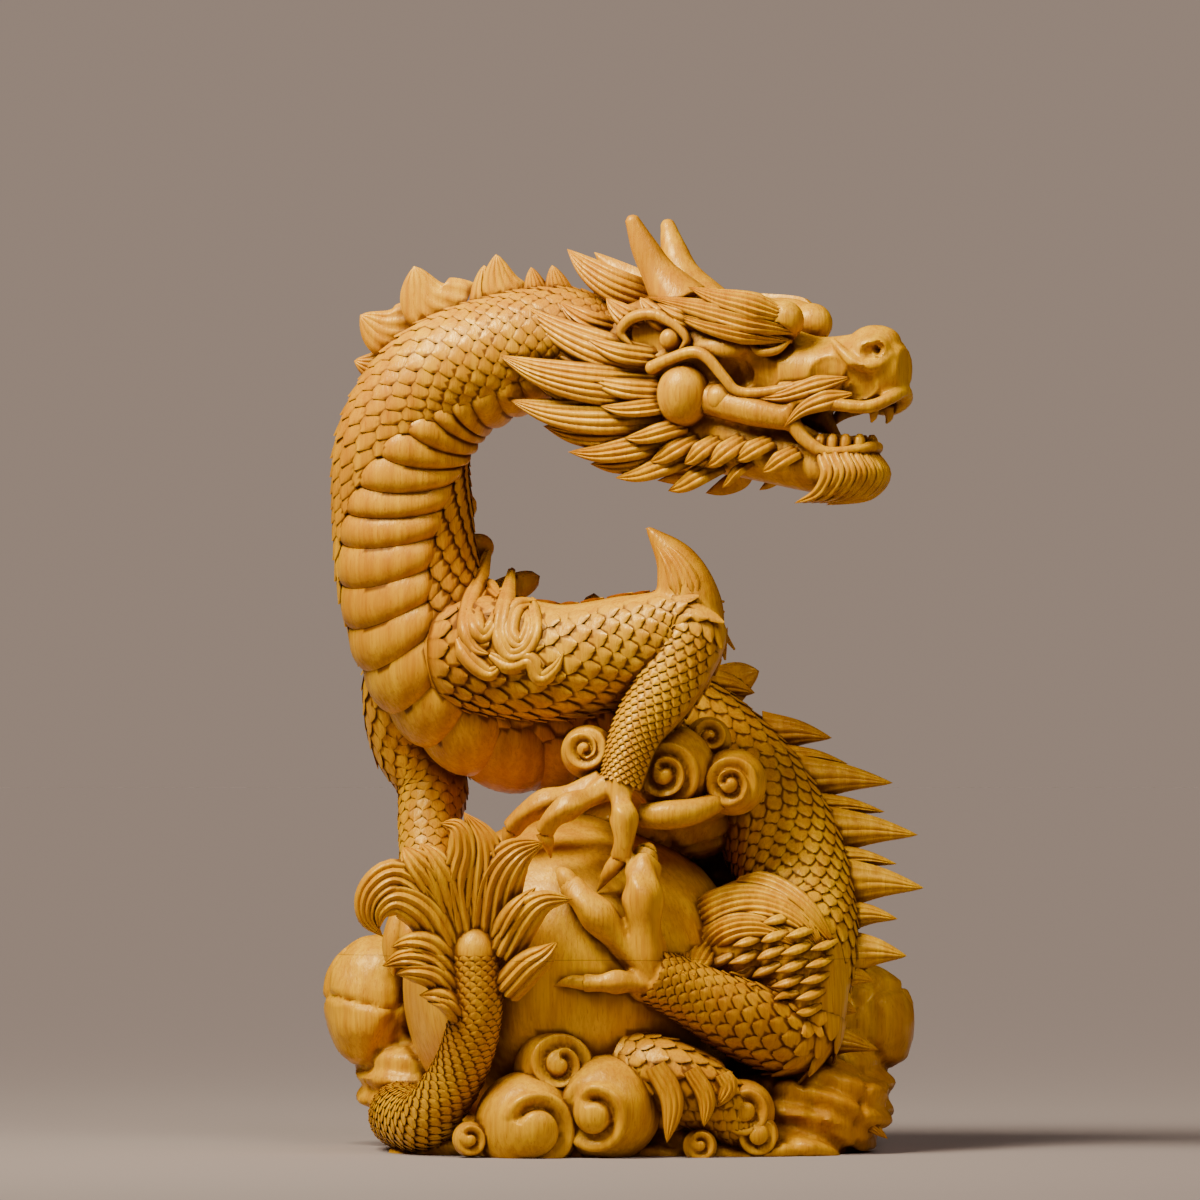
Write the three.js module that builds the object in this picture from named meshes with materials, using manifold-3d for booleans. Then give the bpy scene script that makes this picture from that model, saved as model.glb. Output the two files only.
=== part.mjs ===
// A dragon carved from one block of wood. It coils over a ball that stands on a bank of clouds and rock.
// Millimetres, +Z up, -Y towards the viewer. The origin is on the flat underside, below the ball.

import * as THREE from "three";
import { mergeVertices } from "three/addons/utils/BufferGeometryUtils.js";
import Module from "manifold-3d";

const wasm = await Module();
wasm.setup();

// Driving sizes of the carving.
const BALL = { at: [-9.7, 0, 35.5], radius: 37.2 };
const BASE = { at: [2, 2, 0], half: [49, 36, 12], lumps: 7, lumpDepth: 0.05 };
const UNDERSIDE_CUT = 60;
const CARVING_TOLERANCE = 0.5;

// The spine from the nape to the hip: centre, radius, and the way the dorsal crest points.
const SPINE = [
  { at: [-1.1, -14, 172.3], radius: 9.7, crest: [0.1, 0, 1] },
  { at: [-13, -11, 174.9], radius: 10.8, crest: [0, 0.05, 1] },
  { at: [-25.9, -7, 171.5], radius: 12.6, crest: [-0.15, 0.1, 1] },
  { at: [-38.9, -3, 165.2], radius: 13.6, crest: [-0.55, 0.35, 0.75] },
  { at: [-46.5, 0, 153.3], radius: 14.3, crest: [-0.4, 0.75, 0.45] },
  { at: [-47.1, 3, 138.2], radius: 14.9, crest: [0.15, 0.95, 0.1] },
  { at: [-45, 4, 120.9], radius: 15.6, crest: [0.5, 0.85, 0.1] },
  { at: [-37.8, 5, 105.7], radius: 16.4, crest: [0.6, 0.65, 0.45] },
  { at: [-23.8, 8, 94.9], radius: 16.2, crest: [0.35, 0.55, 0.75] },
  { at: [-6.5, 12, 94.5], radius: 15.6, crest: [0.1, 0.35, 0.93] },
  { at: [10.8, 15, 89.5], radius: 14.7, crest: [0.25, 0.3, 0.9] },
  { at: [24.9, 10, 79.8], radius: 13.4, crest: [0.65, 0.15, 0.75] },
  { at: [34.6, 0, 66.8], radius: 12.3, crest: [0.95, 0.1, 0.35] },
  { at: [38.3, -9, 52.8], radius: 12.1, crest: [1, 0.05, 0.05] },
  { at: [37.8, -14, 40.9], radius: 12.5, crest: [0.97, -0.05, -0.2] },
  { at: [34, -8, 26], radius: 11, crest: [0.8, 0.1, -0.55] },
];
const TAIL = [
  { at: [20, 34, 9], radius: 8, crest: [0, 0.3, 1] },
  { at: [-13, 40, 8], radius: 7.6, crest: [0, 0.3, 1] },
  { at: [-36.8, 33, 7.4], radius: 7.2, crest: [-0.3, 0.3, 1] },
  { at: [-46, 12, 7], radius: 6.9, crest: [-0.7, 0, 0.7] },
  { at: [-46.6, -8, 6.6], radius: 6.6, crest: [-0.9, -0.2, 0.5] },
  { at: [-41.1, -26, 8], radius: 6.2, crest: [-0.7, -0.6, 0.3] },
  { at: [-34.2, -35, 18.2], radius: 5.6, crest: [-0.3, -0.9, 0.3] },
  { at: [-30.7, -39, 30.1], radius: 5.3, crest: [0, -1, 0.1] },
  { at: [-30.7, -39, 43], radius: 5, crest: [0, -1, 0] },
];

// Belly plates step along the spine, wedge by wedge, inside the belly's half angle.
const BELLY = { plates: 22, halfAngle: 0.95, lift: 1.1, lastShare: 0.74 };

// The near shoulder swells out of the trunk behind the arm.
const SHOULDER = { at: [-26, -5, 107], half: [14, 13, 14] };

// Limbs: centre and radius at each station, from the trunk to the wrist or ankle.
const NEAR_ARM = [
  { at: [-29, -7, 107], radius: 13 },
  { at: [-12, -15, 105.5], radius: 12.4 },
  { at: [3.5, -20.5, 109], radius: 11 },
  { at: [14.6, -24, 111.5], radius: 8.6 },
  { at: [10.4, -26, 100.3], radius: 7.4 },
  { at: [3.9, -27, 89.5], radius: 5.6 },
  { at: [0.4, -28, 78.5], radius: 4.6 },
];
const FAR_ARM = [
  { at: [-46, 12, 103], radius: 9.4 },
  { at: [-46.5, 18, 89.5], radius: 8.2 },
  { at: [-41.1, 18, 79.8], radius: 7.8 },
  { at: [-41.6, 14, 69], radius: 6.6 },
  { at: [-41.5, 9, 58], radius: 6 },
];
const NEAR_LEG = [
  { at: [35, -16, 49], radius: 13 },
  { at: [38, -19, 34.4], radius: 11 },
  { at: [37.5, -22, 25.6], radius: 8.4 },
  { at: [25.9, -28, 29], radius: 8 },
  { at: [15.1, -32, 34.4], radius: 6.4 },
  { at: [6.5, -35, 38.7], radius: 5.4 },
];

// Toes, each from the palm over its knuckles to the claw's point.
const TOES = [
  { name: "near forefoot, down", radius: 3.6, path: [[0.4, -29, 78], [1.2, -33, 68], [0.4, -34, 62], [-3.4, -33, 55.5]] },
  { name: "near forefoot, front", radius: 3.6, path: [[0, -28, 77], [-10, -31, 73], [-17, -31, 69], [-17.5, -32, 63]] },
  { name: "near forefoot, back", radius: 3.4, path: [[-1, -25, 77.5], [-12, -22, 76], [-23, -21, 70.5], [-26, -22, 65]] },
  { name: "near hindfoot, up", radius: 4.9, path: [[6.5, -35, 39], [7.3, -35, 47], [5.8, -30, 58], [4, -27, 65]] },
  { name: "near hindfoot, slant", radius: 4.2, path: [[6, -35, 40], [-2, -36, 47], [-9, -34, 55], [-12.5, -31, 61]] },
  { name: "near hindfoot, side", radius: 3, path: [[7, -36, 36], [-4, -38, 35.2], [-14, -38, 34.4], [-19, -37, 33]] },
  { name: "far forefoot, front", radius: 3.4, path: [[-41.5, 9, 58], [-43, -2, 54], [-45, -8, 47], [-45, -11, 41]] },
  { name: "far forefoot, middle", radius: 3.4, path: [[-41.5, 10, 58], [-46, 8, 52], [-49, 6, 44], [-49, 5, 37]] },
  { name: "far forefoot, back", radius: 3.4, path: [[-41.5, 10, 58], [-43, 20, 54], [-44, 25, 46], [-43, 27, 39]] },
];

// Dorsal crest: flame-shaped fins on the neck, then long spikes over the back with short ones between.
const NECK_FINS = { count: 9, from: 0.03, to: 0.3, length: 8, width: 9, thick: 2.6, lean: 0.9 };
const BACK_FINS = { count: 9, from: 0.35, to: 0.68, length: 5, width: 8, thick: 3, lean: 0.5 };
const HIP_SPIKES = { count: 14, from: 0.71, to: 1, length: 13, width: 11, thick: 4, lean: 0.1 };

// The head stands in its own frame: forward, up and towards the near side, turned to face the viewer a little.
const HEAD = { at: [15.1, -22, 168.4], turn: THREE.MathUtils.degToRad(27) };
const SKULL = [
  { forward: -24, up: 3, high: 9, wide: 9 },
  { forward: -8, up: 3, high: 13, wide: 11 },
  { forward: 8, up: 2.5, high: 12, wide: 11.5 },
  { forward: 18, up: 1.5, high: 9.5, wide: 10.5 },
  { forward: 25, up: 0, high: 7, wide: 8.8 },
  { forward: 33, up: -0.8, high: 7.6, wide: 7.8 },
  { forward: 41, up: -1, high: 8.8, wide: 8.2 },
  { forward: 48, up: -1.4, high: 7.2, wide: 7.2 },
  { forward: 51, up: -1.8, high: 3.6, wide: 4.2 },
];
const JAW = [
  { forward: 0, up: -13, high: 9, wide: 10 },
  { forward: 14, up: -18, high: 8.6, wide: 9.6 },
  { forward: 27, up: -19.4, high: 8, wide: 9 },
  { forward: 36, up: -23.6, high: 6, wide: 8.2 },
  { forward: 42, up: -23.6, high: 5.4, wide: 6.2 },
  { forward: 45, up: -23, high: 3, wide: 3.2 },
];
// Swellings of the face: place, half sizes, and whether both sides have one.
const FACE = [
  { name: "brow", at: [15, 12.5, 8], half: [11.5, 4.8, 4.8], paired: true },
  { name: "brow's front", at: [23, 10.4, 8], half: [6, 6, 5.4], paired: true },
  { name: "eye", at: [18.5, 5, 9], half: [5, 4.4, 4.4], paired: true },
  { name: "cheek", at: [3.9, -6.5, 11], half: [6, 7, 5.6], paired: true },
  { name: "jaw muscle", at: [16, -9, 9.6], half: [8, 3.6, 4], paired: true },
  { name: "nostril", at: [44, 3.2, 4.4], half: [5, 4.6, 4.2], paired: true },
  { name: "ear", at: [-2.5, 6.4, 11.5], half: [6.4, 3.6, 3], paired: true },
];
const HORN = [
  { at: [6, 12, 4], radius: 5 },
  { at: [1, 18, 5], radius: 4.2 },
  { at: [-5.4, 23.4, 6.5], radius: 3.2 },
  { at: [-9.5, 31, 9.2], radius: 1.6 },
];
const CREST_LEAF = { root: [-6, 11, 4], tip: [-26, 26, 7], width: 10, thick: 5 };

// The mane fans out behind each cheek in tiers of pointed locks, from the crown round to the jaw.
const MANE_CENTRE = [2, -2, 11];
const MANE_TIERS = [
  { locks: 6, fromAngle: 2.62, toAngle: 4.55, longest: 45, shortest: 28, width: 12, thick: 5, root: 0.3, flare: 2.5 },
  { locks: 4, fromAngle: 2.55, toAngle: 4.15, longest: 32, shortest: 21, width: 10, thick: 5, root: 0.25, flare: 3.6 },
  { locks: 2, fromAngle: 2.05, toAngle: 2.4, longest: 24, shortest: 22, width: 8, thick: 4.4, root: 0.3, flare: 2.4 },
];
const JAW_BEARD = { locks: 4, fromForward: 2, toForward: 24, drop: 13, back: 6, width: 7.4, thick: 4, side: 8.6 };
const CHIN_BEARD = { locks: 4, spread: 2.2, drop: 9.5, width: 8.4, thick: 4.6 };

// Locks of the tail's tuft fan out around the tail's end, and curl over at their points.
const TUFT = { at: [-32, -38.5, 44], locks: 9, fromAngle: -0.2, toAngle: 3.95, short: 20, long: 31, width: 13, thick: 7 };
const ELBOW_TUFT = { root: [14.5, -23, 110], bend: [16, -23, 126], tip: [6.2, -21, 134], width: 19, thick: 10 };
const SHOULDER_FLAME = { at: [-26, -18.5, 103], locks: 3, length: 18, width: 6, thick: 5 };
const THIGH_FLAME = { at: [33, -28.5, 47], locks: 3, length: 17, width: 8, thick: 4.4 };

// Clouds: a swelling, with a rope that winds in on its front. Turn is +1 or -1, or 0 for a plain one.
const CLOUDS = [
  { at: [9.7, -25, 81.5], radius: 9, turn: 1, depth: 0.8 },
  { at: [24.9, -22, 79.5], radius: 8, turn: -1, depth: 0.8 },
    { at: [15.1, -16, 89], radius: 7, turn: 0, depth: 0.9 },
  { at: [-13, -33, 21.5], radius: 10, turn: -1, depth: 0.75 },
  { at: [-19.5, -36, 8], radius: 12.5, turn: 1, depth: 0.7 },
  { at: [1.5, -36, 11], radius: 13, turn: -1, depth: 0.7 },
    { at: [17.3, -36, 3], radius: 5.4, turn: 0, depth: 0.7 },
  { at: [29.2, -33, 5], radius: 7.6, turn: 1, depth: 0.7 },
  { at: [-8, 33, 22], radius: 13, turn: 0, depth: 0.7 },
  { at: [-24, 27, 32], radius: 10, turn: 0, depth: 0.8 },
];
const CLOUD_ROLL = { from: [6, -27, 73.5], to: [21, -25, 74.5], radius: 4.4 };

// Rocks of the bank: place, half sizes, and how deep their facets are.
const ROCKS = [
  { name: "left boulder", at: [-52, 22, 30], half: [12, 12, 16], facet: 0.1 },
  { name: "left ledge", at: [-44, 20, 14], half: [13, 15, 12], facet: 0.12 },
  { name: "right boulder", at: [51, 16, 26], half: [13, 13, 12], facet: 0.12 },
  { name: "right ledge", at: [40, -11, 9], half: [18, 17, 12], facet: 0.1 },
  { name: "right step", at: [46, 11, 12], half: [13, 16, 13], facet: 0.1 },
  { name: "back ledge", at: [18, 18, 34], half: [20, 17, 38], facet: 0.08 },
  { name: "front wave", at: [13, -31, 17], half: [11, 8, 8], facet: 0.06 },
  { name: "cloud bank over the ball", at: [14, -12, 76], half: [15, 15, 14], facet: 0.05 },
];

const toVector = (p) => new THREE.Vector3(p[0], p[1], p[2]);
const smoothCurve = (points) => new THREE.CatmullRomCurve3(points, false, "catmullrom", 0.5);

// Solids

function solidOf(geometry) {
  geometry.deleteAttribute("normal");
  geometry.deleteAttribute("uv");
  const merged = mergeVertices(geometry, 1e-4);
  const vertProperties = merged.attributes.position.array;
  const triVerts = new Uint32Array(merged.index.array);
  return new wasm.Manifold(new wasm.Mesh({ numProp: 3, vertProperties, triVerts }));
}

function geometryOf(solid) {
  const mesh = solid.getMesh();
  const geometry = new THREE.BufferGeometry();
  geometry.setAttribute("position", new THREE.BufferAttribute(mesh.vertProperties, mesh.numProp));
  geometry.setIndex(new THREE.BufferAttribute(mesh.triVerts, 1));
  geometry.computeVertexNormals();
  return geometry;
}

// Moves every vertex of a geometry to where the given function places it.
function reshape(geometry, place) {
  const position = geometry.attributes.position;
  const vertex = new THREE.Vector3();
  for (let i = 0; i < position.count; i++) {
    vertex.fromBufferAttribute(position, i);
    const moved = place(vertex);
    position.setXYZ(i, moved.x, moved.y, moved.z);
  }
  return geometry;
}

// A smooth course through stations: centre, radius, and a frame whose up follows the stations' crest.
function courseOf(stations) {
  const centre = smoothCurve(stations.map((s) => toVector(s.at)));
  const girth = smoothCurve(stations.map((s) => new THREE.Vector3(s.radius, 0, 0)));
  const crest = smoothCurve(stations.map((s) => toVector(s.crest ?? [0, -1, 0])));
  return (share) => {
    const t = Math.min(Math.max(share, 0), 1);
    const along = centre.getTangent(t);
    const up = crest.getPoint(t);
    up.addScaledVector(along, -up.dot(along)).normalize();
    const side = new THREE.Vector3().crossVectors(along, up);
    return { centre: centre.getPoint(t), radius: girth.getPoint(t).x, along, up, side };
  };
}

// A tube along a course, with rounded ends. swell(share, angle) adds to its radius; angle 0 is the crest.
function tube(stations, sides, steps, swell = () => 0) {
  const course = courseOf(stations);
  const geometry = new THREE.CylinderGeometry(1, 1, 1, sides, steps);
  reshape(geometry, (v) => {
    const share = v.y + 0.5;
    const atRim = Math.hypot(v.x, v.z) > 0.5 ? 1 : 0;
    const angle = Math.atan2(v.x, v.z);
    const frame = course(share);
    const radius = atRim * (frame.radius + swell(share, angle));
    return frame.centre
      .clone()
      .addScaledVector(frame.up, radius * Math.cos(angle))
      .addScaledVector(frame.side, radius * Math.sin(angle));
  });
  return solidOf(geometry);
}

// A pointed leaf: it swells from its root, narrows to its tip, and is flat across its face.
function leaf({ root, bend, tip, face, width, thick, sides = 6, steps = 4 }) {
  const start = toVector(root);
  const end = toVector(tip);
  const middle = bend ? toVector(bend) : start.clone().lerp(end, 0.5);
  const spine = new THREE.QuadraticBezierCurve3(start, middle, end);
  const geometry = new THREE.CylinderGeometry(0, 1, 1, sides, steps);
  reshape(geometry, (v) => {
    const share = v.y + 0.5;
    const atRim = Math.hypot(v.x, v.z) > 1e-6 ? 1 : 0;
    const angle = Math.atan2(v.x, v.z);
    const along = spine.getTangent(share);
    const across = new THREE.Vector3().crossVectors(along, toVector(face)).normalize();
    const outward = new THREE.Vector3().crossVectors(across, along);
    const fullness = atRim * (1 - share ** 2.2) * (0.75 + 0.5 * share);
    return spine
      .getPoint(share)
      .addScaledVector(across, (fullness * width * Math.sin(angle)) / 2)
      .addScaledVector(outward, (fullness * thick * Math.cos(angle)) / 2);
  });
  return solidOf(geometry);
}

function swelling(at, half, wide = 12, high = 8, facet = 0) {
  const geometry = new THREE.SphereGeometry(1, wide, high);
  const centre = toVector(at);
  reshape(geometry, (v) => {
    const uneven = 1 + facet * Math.sin(5 * v.x + 2 * v.z) * Math.cos(4 * v.y - 3 * v.z + at[0]);
    return v.clone().multiply(toVector(half)).multiplyScalar(uneven).add(centre);
  });
  return solidOf(geometry);
}

function joined(solids) {
  return wasm.Manifold.union(solids);
}

// Body and tail

// Two rings of the body's tube make each plate, one at its raised edge and one at its foot.
const BODY_STEPS = Math.round((2 * BELLY.plates) / BELLY.lastShare);

function bellyStep(share, angle) {
  if (share > BELLY.lastShare || Math.abs(angle) < Math.PI - BELLY.halfAngle) return 0;
  return Math.round(share * BODY_STEPS) % 2 === 0 ? BELLY.lift : 0;
}

function body() {
  return tube(SPINE, 11, BODY_STEPS, bellyStep);
}

// Fins stand along the crest of the spine, every second one short, and lean back from the head.
function fins({ count, from, to, length, width, thick, lean }, course = courseOf(SPINE)) {
  const made = [];
  for (let i = 0; i < count; i++) {
    const frame = course(from + ((to - from) * i) / (count - 1));
    const size = i % 2 === 0 ? 1 : 0.62;
    const root = frame.centre.clone().addScaledVector(frame.up, frame.radius - 2.5);
    const reach = length * size + 2.5;
    const tip = root.clone().addScaledVector(frame.up, reach).addScaledVector(frame.along, lean * reach);
    const bend = root.clone().addScaledVector(frame.up, 0.6 * reach);
    made.push(
      leaf({
        root: root.toArray(),
        bend: bend.toArray(),
        tip: tip.toArray(),
        face: frame.side.toArray(),
        width,
        thick,
        sides: 4,
        steps: 2,
      }),
    );
  }
  return joined(made);
}

function tuft({ at, locks, fromAngle, toAngle, short, long, width, thick }) {
  const made = [];
  for (let i = 0; i < locks; i++) {
    const angle = fromAngle + ((toAngle - fromAngle) * i) / (locks - 1);
    const upright = Math.max(Math.sin(angle), 0);
    const reach = short + (long - short) * upright;
    const point = (out, rise, forward) => [
      at[0] + Math.cos(angle) * reach * out,
      at[1] - forward,
      at[2] + Math.sin(angle) * reach * out + rise,
    ];
    const bend = point(0.55, 7 * (1 - upright), 5);
    made.push(leaf({ root: point(0, 0, -1), bend, tip: point(1, 0, -3), face: [0, -1, 0], width, thick, sides: 4, steps: 4 }));
  }
  return joined(made);
}

// Limbs and feet

function toe({ radius, path }) {
  const shares = [1, 0.92, 0.8, 0.14];
  return tube(
    path.map((at, i) => ({ at, radius: radius * shares[i], crest: [0, -1, 0.2] })),
    5,
    5,
  );
}

function flame({ at, locks, length, width, thick }, turn) {
  const made = [];
  for (let i = 0; i < locks; i++) {
    const angle = turn + 0.42 * (i - (locks - 1) / 2);
    const reach = length * (1 - 0.12 * Math.abs(i - (locks - 1) / 2));
    const out = [Math.cos(angle), 0.1, Math.sin(angle)];
    const tip = at.map((v, k) => v + reach * out[k]);
    const bend = [at[0] + 0.6 * reach * out[0] + 2, at[1] - 2, at[2] + 0.6 * reach * out[2] - 2];
    made.push(leaf({ root: at, bend, tip, face: [0, -1, 0], width, thick, sides: 4, steps: 3 }));
  }
  return joined(made);
}

function limbs() {
  return joined([
    swelling(SHOULDER.at, SHOULDER.half, 10, 7),
    tube(NEAR_ARM, 8, 14),
    tube(FAR_ARM, 7, 8),
    tube(NEAR_LEG, 8, 11),
    ...TOES.map(toe),
    leaf({ ...ELBOW_TUFT, face: [0, -1, 0], sides: 6, steps: 5 }),
    flame(SHOULDER_FLAME, 1.5),
    flame(THIGH_FLAME, 2.7),
  ]);
}

// Head

function headFrame() {
  const forward = new THREE.Vector3(Math.cos(HEAD.turn), -Math.sin(HEAD.turn), 0);
  const up = new THREE.Vector3(0, 0, 1);
  const near = new THREE.Vector3().crossVectors(forward, up);
  return (p) =>
    toVector(HEAD.at)
      .addScaledVector(forward, p[0])
      .addScaledVector(up, p[1])
      .addScaledVector(near, p[2])
      .toArray();
}
const onHead = headFrame();
const SIDES = [1, -1];
const mirrored = (p, side) => [p[0], p[1], p[2] * side];

function muzzle(stations, sides, steps) {
  const middle = smoothCurve(stations.map((s) => new THREE.Vector3(s.forward, s.up, 0)));
  const girth = smoothCurve(stations.map((s) => new THREE.Vector3(s.high, s.wide, 0)));
  const geometry = new THREE.CylinderGeometry(1, 1, 1, sides, steps);
  reshape(geometry, (v) => {
    const at = middle.getPoint(v.y + 0.5);
    const half = girth.getPoint(v.y + 0.5);
    return toVector(onHead([at.x, at.y + half.x * v.z, half.y * v.x]));
  });
  return solidOf(geometry);
}

function faceSwellings() {
  const made = [];
  for (const { at, half, paired } of FACE) {
    for (const side of paired ? SIDES : [1]) {
      const geometry = new THREE.SphereGeometry(1, 8, 5);
      reshape(geometry, (v) => {
        const place = [at[0] + half[0] * v.x, at[1] + half[1] * v.y, at[2] * side + half[2] * v.z];
        return toVector(onHead(place));
      });
      made.push(solidOf(geometry));
    }
  }
  return made;
}

function horn(side) {
  const stations = HORN.map((s) => ({
    at: onHead(mirrored(s.at, side)),
    radius: s.radius,
    crest: [1, 0, 0.3],
  }));
  return tube(stations, 6, 6);
}

function headLock(root, bend, tip, face, width, thick, side) {
  const origin = toVector(onHead([0, 0, 0]));
  return leaf({
    root: onHead(mirrored(root, side)),
    bend: onHead(mirrored(bend, side)),
    tip: onHead(mirrored(tip, side)),
    face: toVector(onHead(mirrored(face, side))).sub(origin).toArray(),
    width,
    thick,
    sides: 4,
    steps: 3,
  });
}

function maneTier({ locks, fromAngle, toAngle, longest, shortest, width, thick, root, flare }, side) {
  const made = [];
  for (let i = 0; i < locks; i++) {
    const share = i / (locks - 1);
    const angle = fromAngle + (toAngle - fromAngle) * share;
    const length = longest + (shortest - longest) * share;
    const point = (reach, out) => [
      MANE_CENTRE[0] + Math.cos(angle) * length * reach,
      MANE_CENTRE[1] + Math.sin(angle) * length * reach,
      MANE_CENTRE[2] + out,
    ];
    const bend = point(0.65, flare);
    made.push(headLock(point(root, -2), bend, point(1, flare - 3), [-0.2, 0, 1], width, thick, side));
  }
  return made;
}

function jawBeard({ locks, fromForward, toForward, drop, back, width, thick, side: out }, side) {
  const made = [];
  for (let i = 0; i < locks; i++) {
    const share = i / (locks - 1);
    const forward = fromForward + (toForward - fromForward) * share;
    const up = -11 - 7 * share;
    const root = [forward, up, out - 1];
    const bend = [forward - 1, up - drop * 0.5, out + 2.5];
    const tip = [forward - back, up - drop * (1 - 0.25 * share), out - 1];
    made.push(headLock(root, bend, tip, [0, 0.2, 1], width, thick, side));
  }
  return made;
}

function chinBeard({ locks, spread, drop, width, thick }) {
  const made = [];
  for (let i = 0; i < locks; i++) {
    const angle = spread * (i / (locks - 1) - 0.5);
    const front = Math.cos(angle);
    const out = Math.sin(angle);
    const root = [32 + 9 * front, -20, 8 * out];
    const bend = [34.5 + 11 * front, -26, 9.5 * out];
    const tip = [29 + 8 * front, -20 - drop, 8 * out];
    made.push(headLock(root, bend, tip, [front, -0.1, out], width, thick, 1));
  }
  return made;
}

function head() {
  const pieces = [muzzle(SKULL, 10, 13), muzzle(JAW, 8, 7), ...faceSwellings(), ...chinBeard(CHIN_BEARD)];
  for (const side of SIDES) {
    const { root, tip, width, thick } = CREST_LEAF;
    const bend = [(root[0] + tip[0]) / 2 - 3, (root[1] + tip[1]) / 2 - 3, root[2] + 2];
    pieces.push(horn(side), headLock(root, bend, tip, [0.3, 0, 1], width, thick, side));
    MANE_TIERS.forEach((tier) => pieces.push(...maneTier(tier, side)));
    pieces.push(...jawBeard(JAW_BEARD, side));
  }
  return joined(pieces);
}

// Ball, clouds and rock

function cloud({ at, radius, turn, depth }) {
  const dome = swelling(at, [radius, radius * depth, radius], 8, 6);
  if (turn === 0) return dome;
  const turns = 1.3;
  const bends = 6;
  const winding = [];
  for (let i = 0; i <= bends; i++) {
    const share = i / bends;
    const angle = turn * (2 * Math.PI * turns * share + 0.6);
    const reach = radius * (0.78 - 0.6 * share);
    const front = depth * Math.sqrt(radius ** 2 - reach ** 2);
    winding.push({
      at: [at[0] + reach * Math.cos(angle), at[1] - front, at[2] + reach * Math.sin(angle)],
      radius: radius * (0.2 - 0.05 * share),
      crest: [0, -1, 0],
    });
  }
  return joined([dome, tube(winding, 4, 8)]);
}

function bank() {
  const geometry = new THREE.SphereGeometry(1, 21, 6);
  reshape(geometry, (v) => {
    const angle = Math.atan2(v.y, v.x);
    const squarer = (Math.cos(angle) ** 4 + Math.sin(angle) ** 4) ** -0.25;
    const uneven = squarer * (1 + BASE.lumpDepth * Math.cos(BASE.lumps * angle));
    const inPlan = new THREE.Vector3(v.x * uneven, v.y * uneven, v.z);
    return inPlan.multiply(toVector(BASE.half)).add(toVector(BASE.at));
  });
  const roll = [CLOUD_ROLL.from, CLOUD_ROLL.to].map((at) => ({
    at,
    radius: CLOUD_ROLL.radius,
    crest: [0, 0, 1],
  }));
  return joined([
    solidOf(geometry),
    swelling(BALL.at, [BALL.radius, BALL.radius, BALL.radius], 20, 12),
    tube(roll, 6, 2),
    ...CLOUDS.map(cloud),
    ...ROCKS.map(({ at, half, facet }) => swelling(at, half, 9, 6, facet)),
  ]);
}

// Everything below the table is sawn off flat.
function sawnFlat(solid) {
  const block = new THREE.BoxGeometry(400, 400, UNDERSIDE_CUT);
  block.translate(0, 0, -UNDERSIDE_CUT / 2);
  return solid.subtract(solidOf(block));
}

function carving() {
  const whole = joined([
    body(),
    tube(TAIL, 7, 21),
    fins(NECK_FINS),
    fins(BACK_FINS),
    fins(HIP_SPIKES),
    tuft(TUFT),
    limbs(),
    head(),
    bank(),
  ]);
  return sawnFlat(whole).asOriginal().simplify(CARVING_TOLERANCE);
}

const wood = new THREE.MeshStandardMaterial({ color: 0xb9832f, roughness: 0.42, metalness: 0 });
const dragon = new THREE.Mesh(geometryOf(carving()), wood);
dragon.name = "dragon_carving";

const sculpture = new THREE.Group();
sculpture.add(dragon);

export default sculpture;
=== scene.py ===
"""A dragon carved from one block of honey-gold wood, coiled over a ball on a bank of clouds and rock.

The layout repeats the sizes of the part's solids in millimetres. Every piece is built in millimetres
and written in metres. -Y faces the viewer and +Z is up. Carving that was read off the photograph is
given by pixels of it, and is laid on the form that carries it.
"""

import math
from collections import namedtuple

import bmesh
import bpy
from mathutils import Matrix, Vector, noise
from mathutils.bvhtree import BVHTree


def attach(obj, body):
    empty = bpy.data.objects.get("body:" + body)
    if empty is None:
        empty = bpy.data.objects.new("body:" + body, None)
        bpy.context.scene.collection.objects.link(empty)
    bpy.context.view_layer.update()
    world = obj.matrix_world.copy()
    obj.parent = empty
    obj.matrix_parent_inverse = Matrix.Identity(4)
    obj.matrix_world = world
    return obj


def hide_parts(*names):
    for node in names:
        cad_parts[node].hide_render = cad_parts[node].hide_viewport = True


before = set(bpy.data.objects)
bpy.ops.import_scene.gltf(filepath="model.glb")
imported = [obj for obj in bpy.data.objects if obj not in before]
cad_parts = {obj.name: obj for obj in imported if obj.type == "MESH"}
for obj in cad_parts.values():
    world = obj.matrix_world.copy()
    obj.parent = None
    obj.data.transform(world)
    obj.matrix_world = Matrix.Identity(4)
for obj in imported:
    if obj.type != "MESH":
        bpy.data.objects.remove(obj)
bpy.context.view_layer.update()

MM = 0.001
TAU = 2 * math.pi
WELD = 1e-5
SIDES = (1, -1)
SHARP_ANGLE = math.radians(50)

# Camera: where a pixel of the photograph lies in space

PHOTO_PIXELS = 1200
PIXELS_PER_MM = 4.625
CAMERA_DISTANCE = 1900
CAMERA_RISE = math.radians(-1)
FRAME_CENTRE = Vector((-4.3, 0, 118.7))
BACKWARD = Vector((0, -math.cos(CAMERA_RISE), math.sin(CAMERA_RISE)))
EYE = FRAME_CENTRE + BACKWARD * CAMERA_DISTANCE
EYE_UP = Vector((0, math.sin(CAMERA_RISE), math.cos(CAMERA_RISE)))
EYE_RIGHT = Vector((1, 0, 0))
PIXEL_SCALE = PIXELS_PER_MM * CAMERA_DISTANCE


def sight(across, down):
    """The way the camera looks at a pixel."""
    middle = PHOTO_PIXELS / 2
    aside = EYE_RIGHT * ((across - middle) / PIXEL_SCALE)
    above = EYE_UP * ((middle - down) / PIXEL_SCALE)
    return aside + above - BACKWARD


def seen(across, down, depth):
    """The point at a depth, which is a Y, that is seen at a pixel."""
    way = sight(across, down)
    return EYE + way * ((depth - EYE.y) / way.y)


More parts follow.
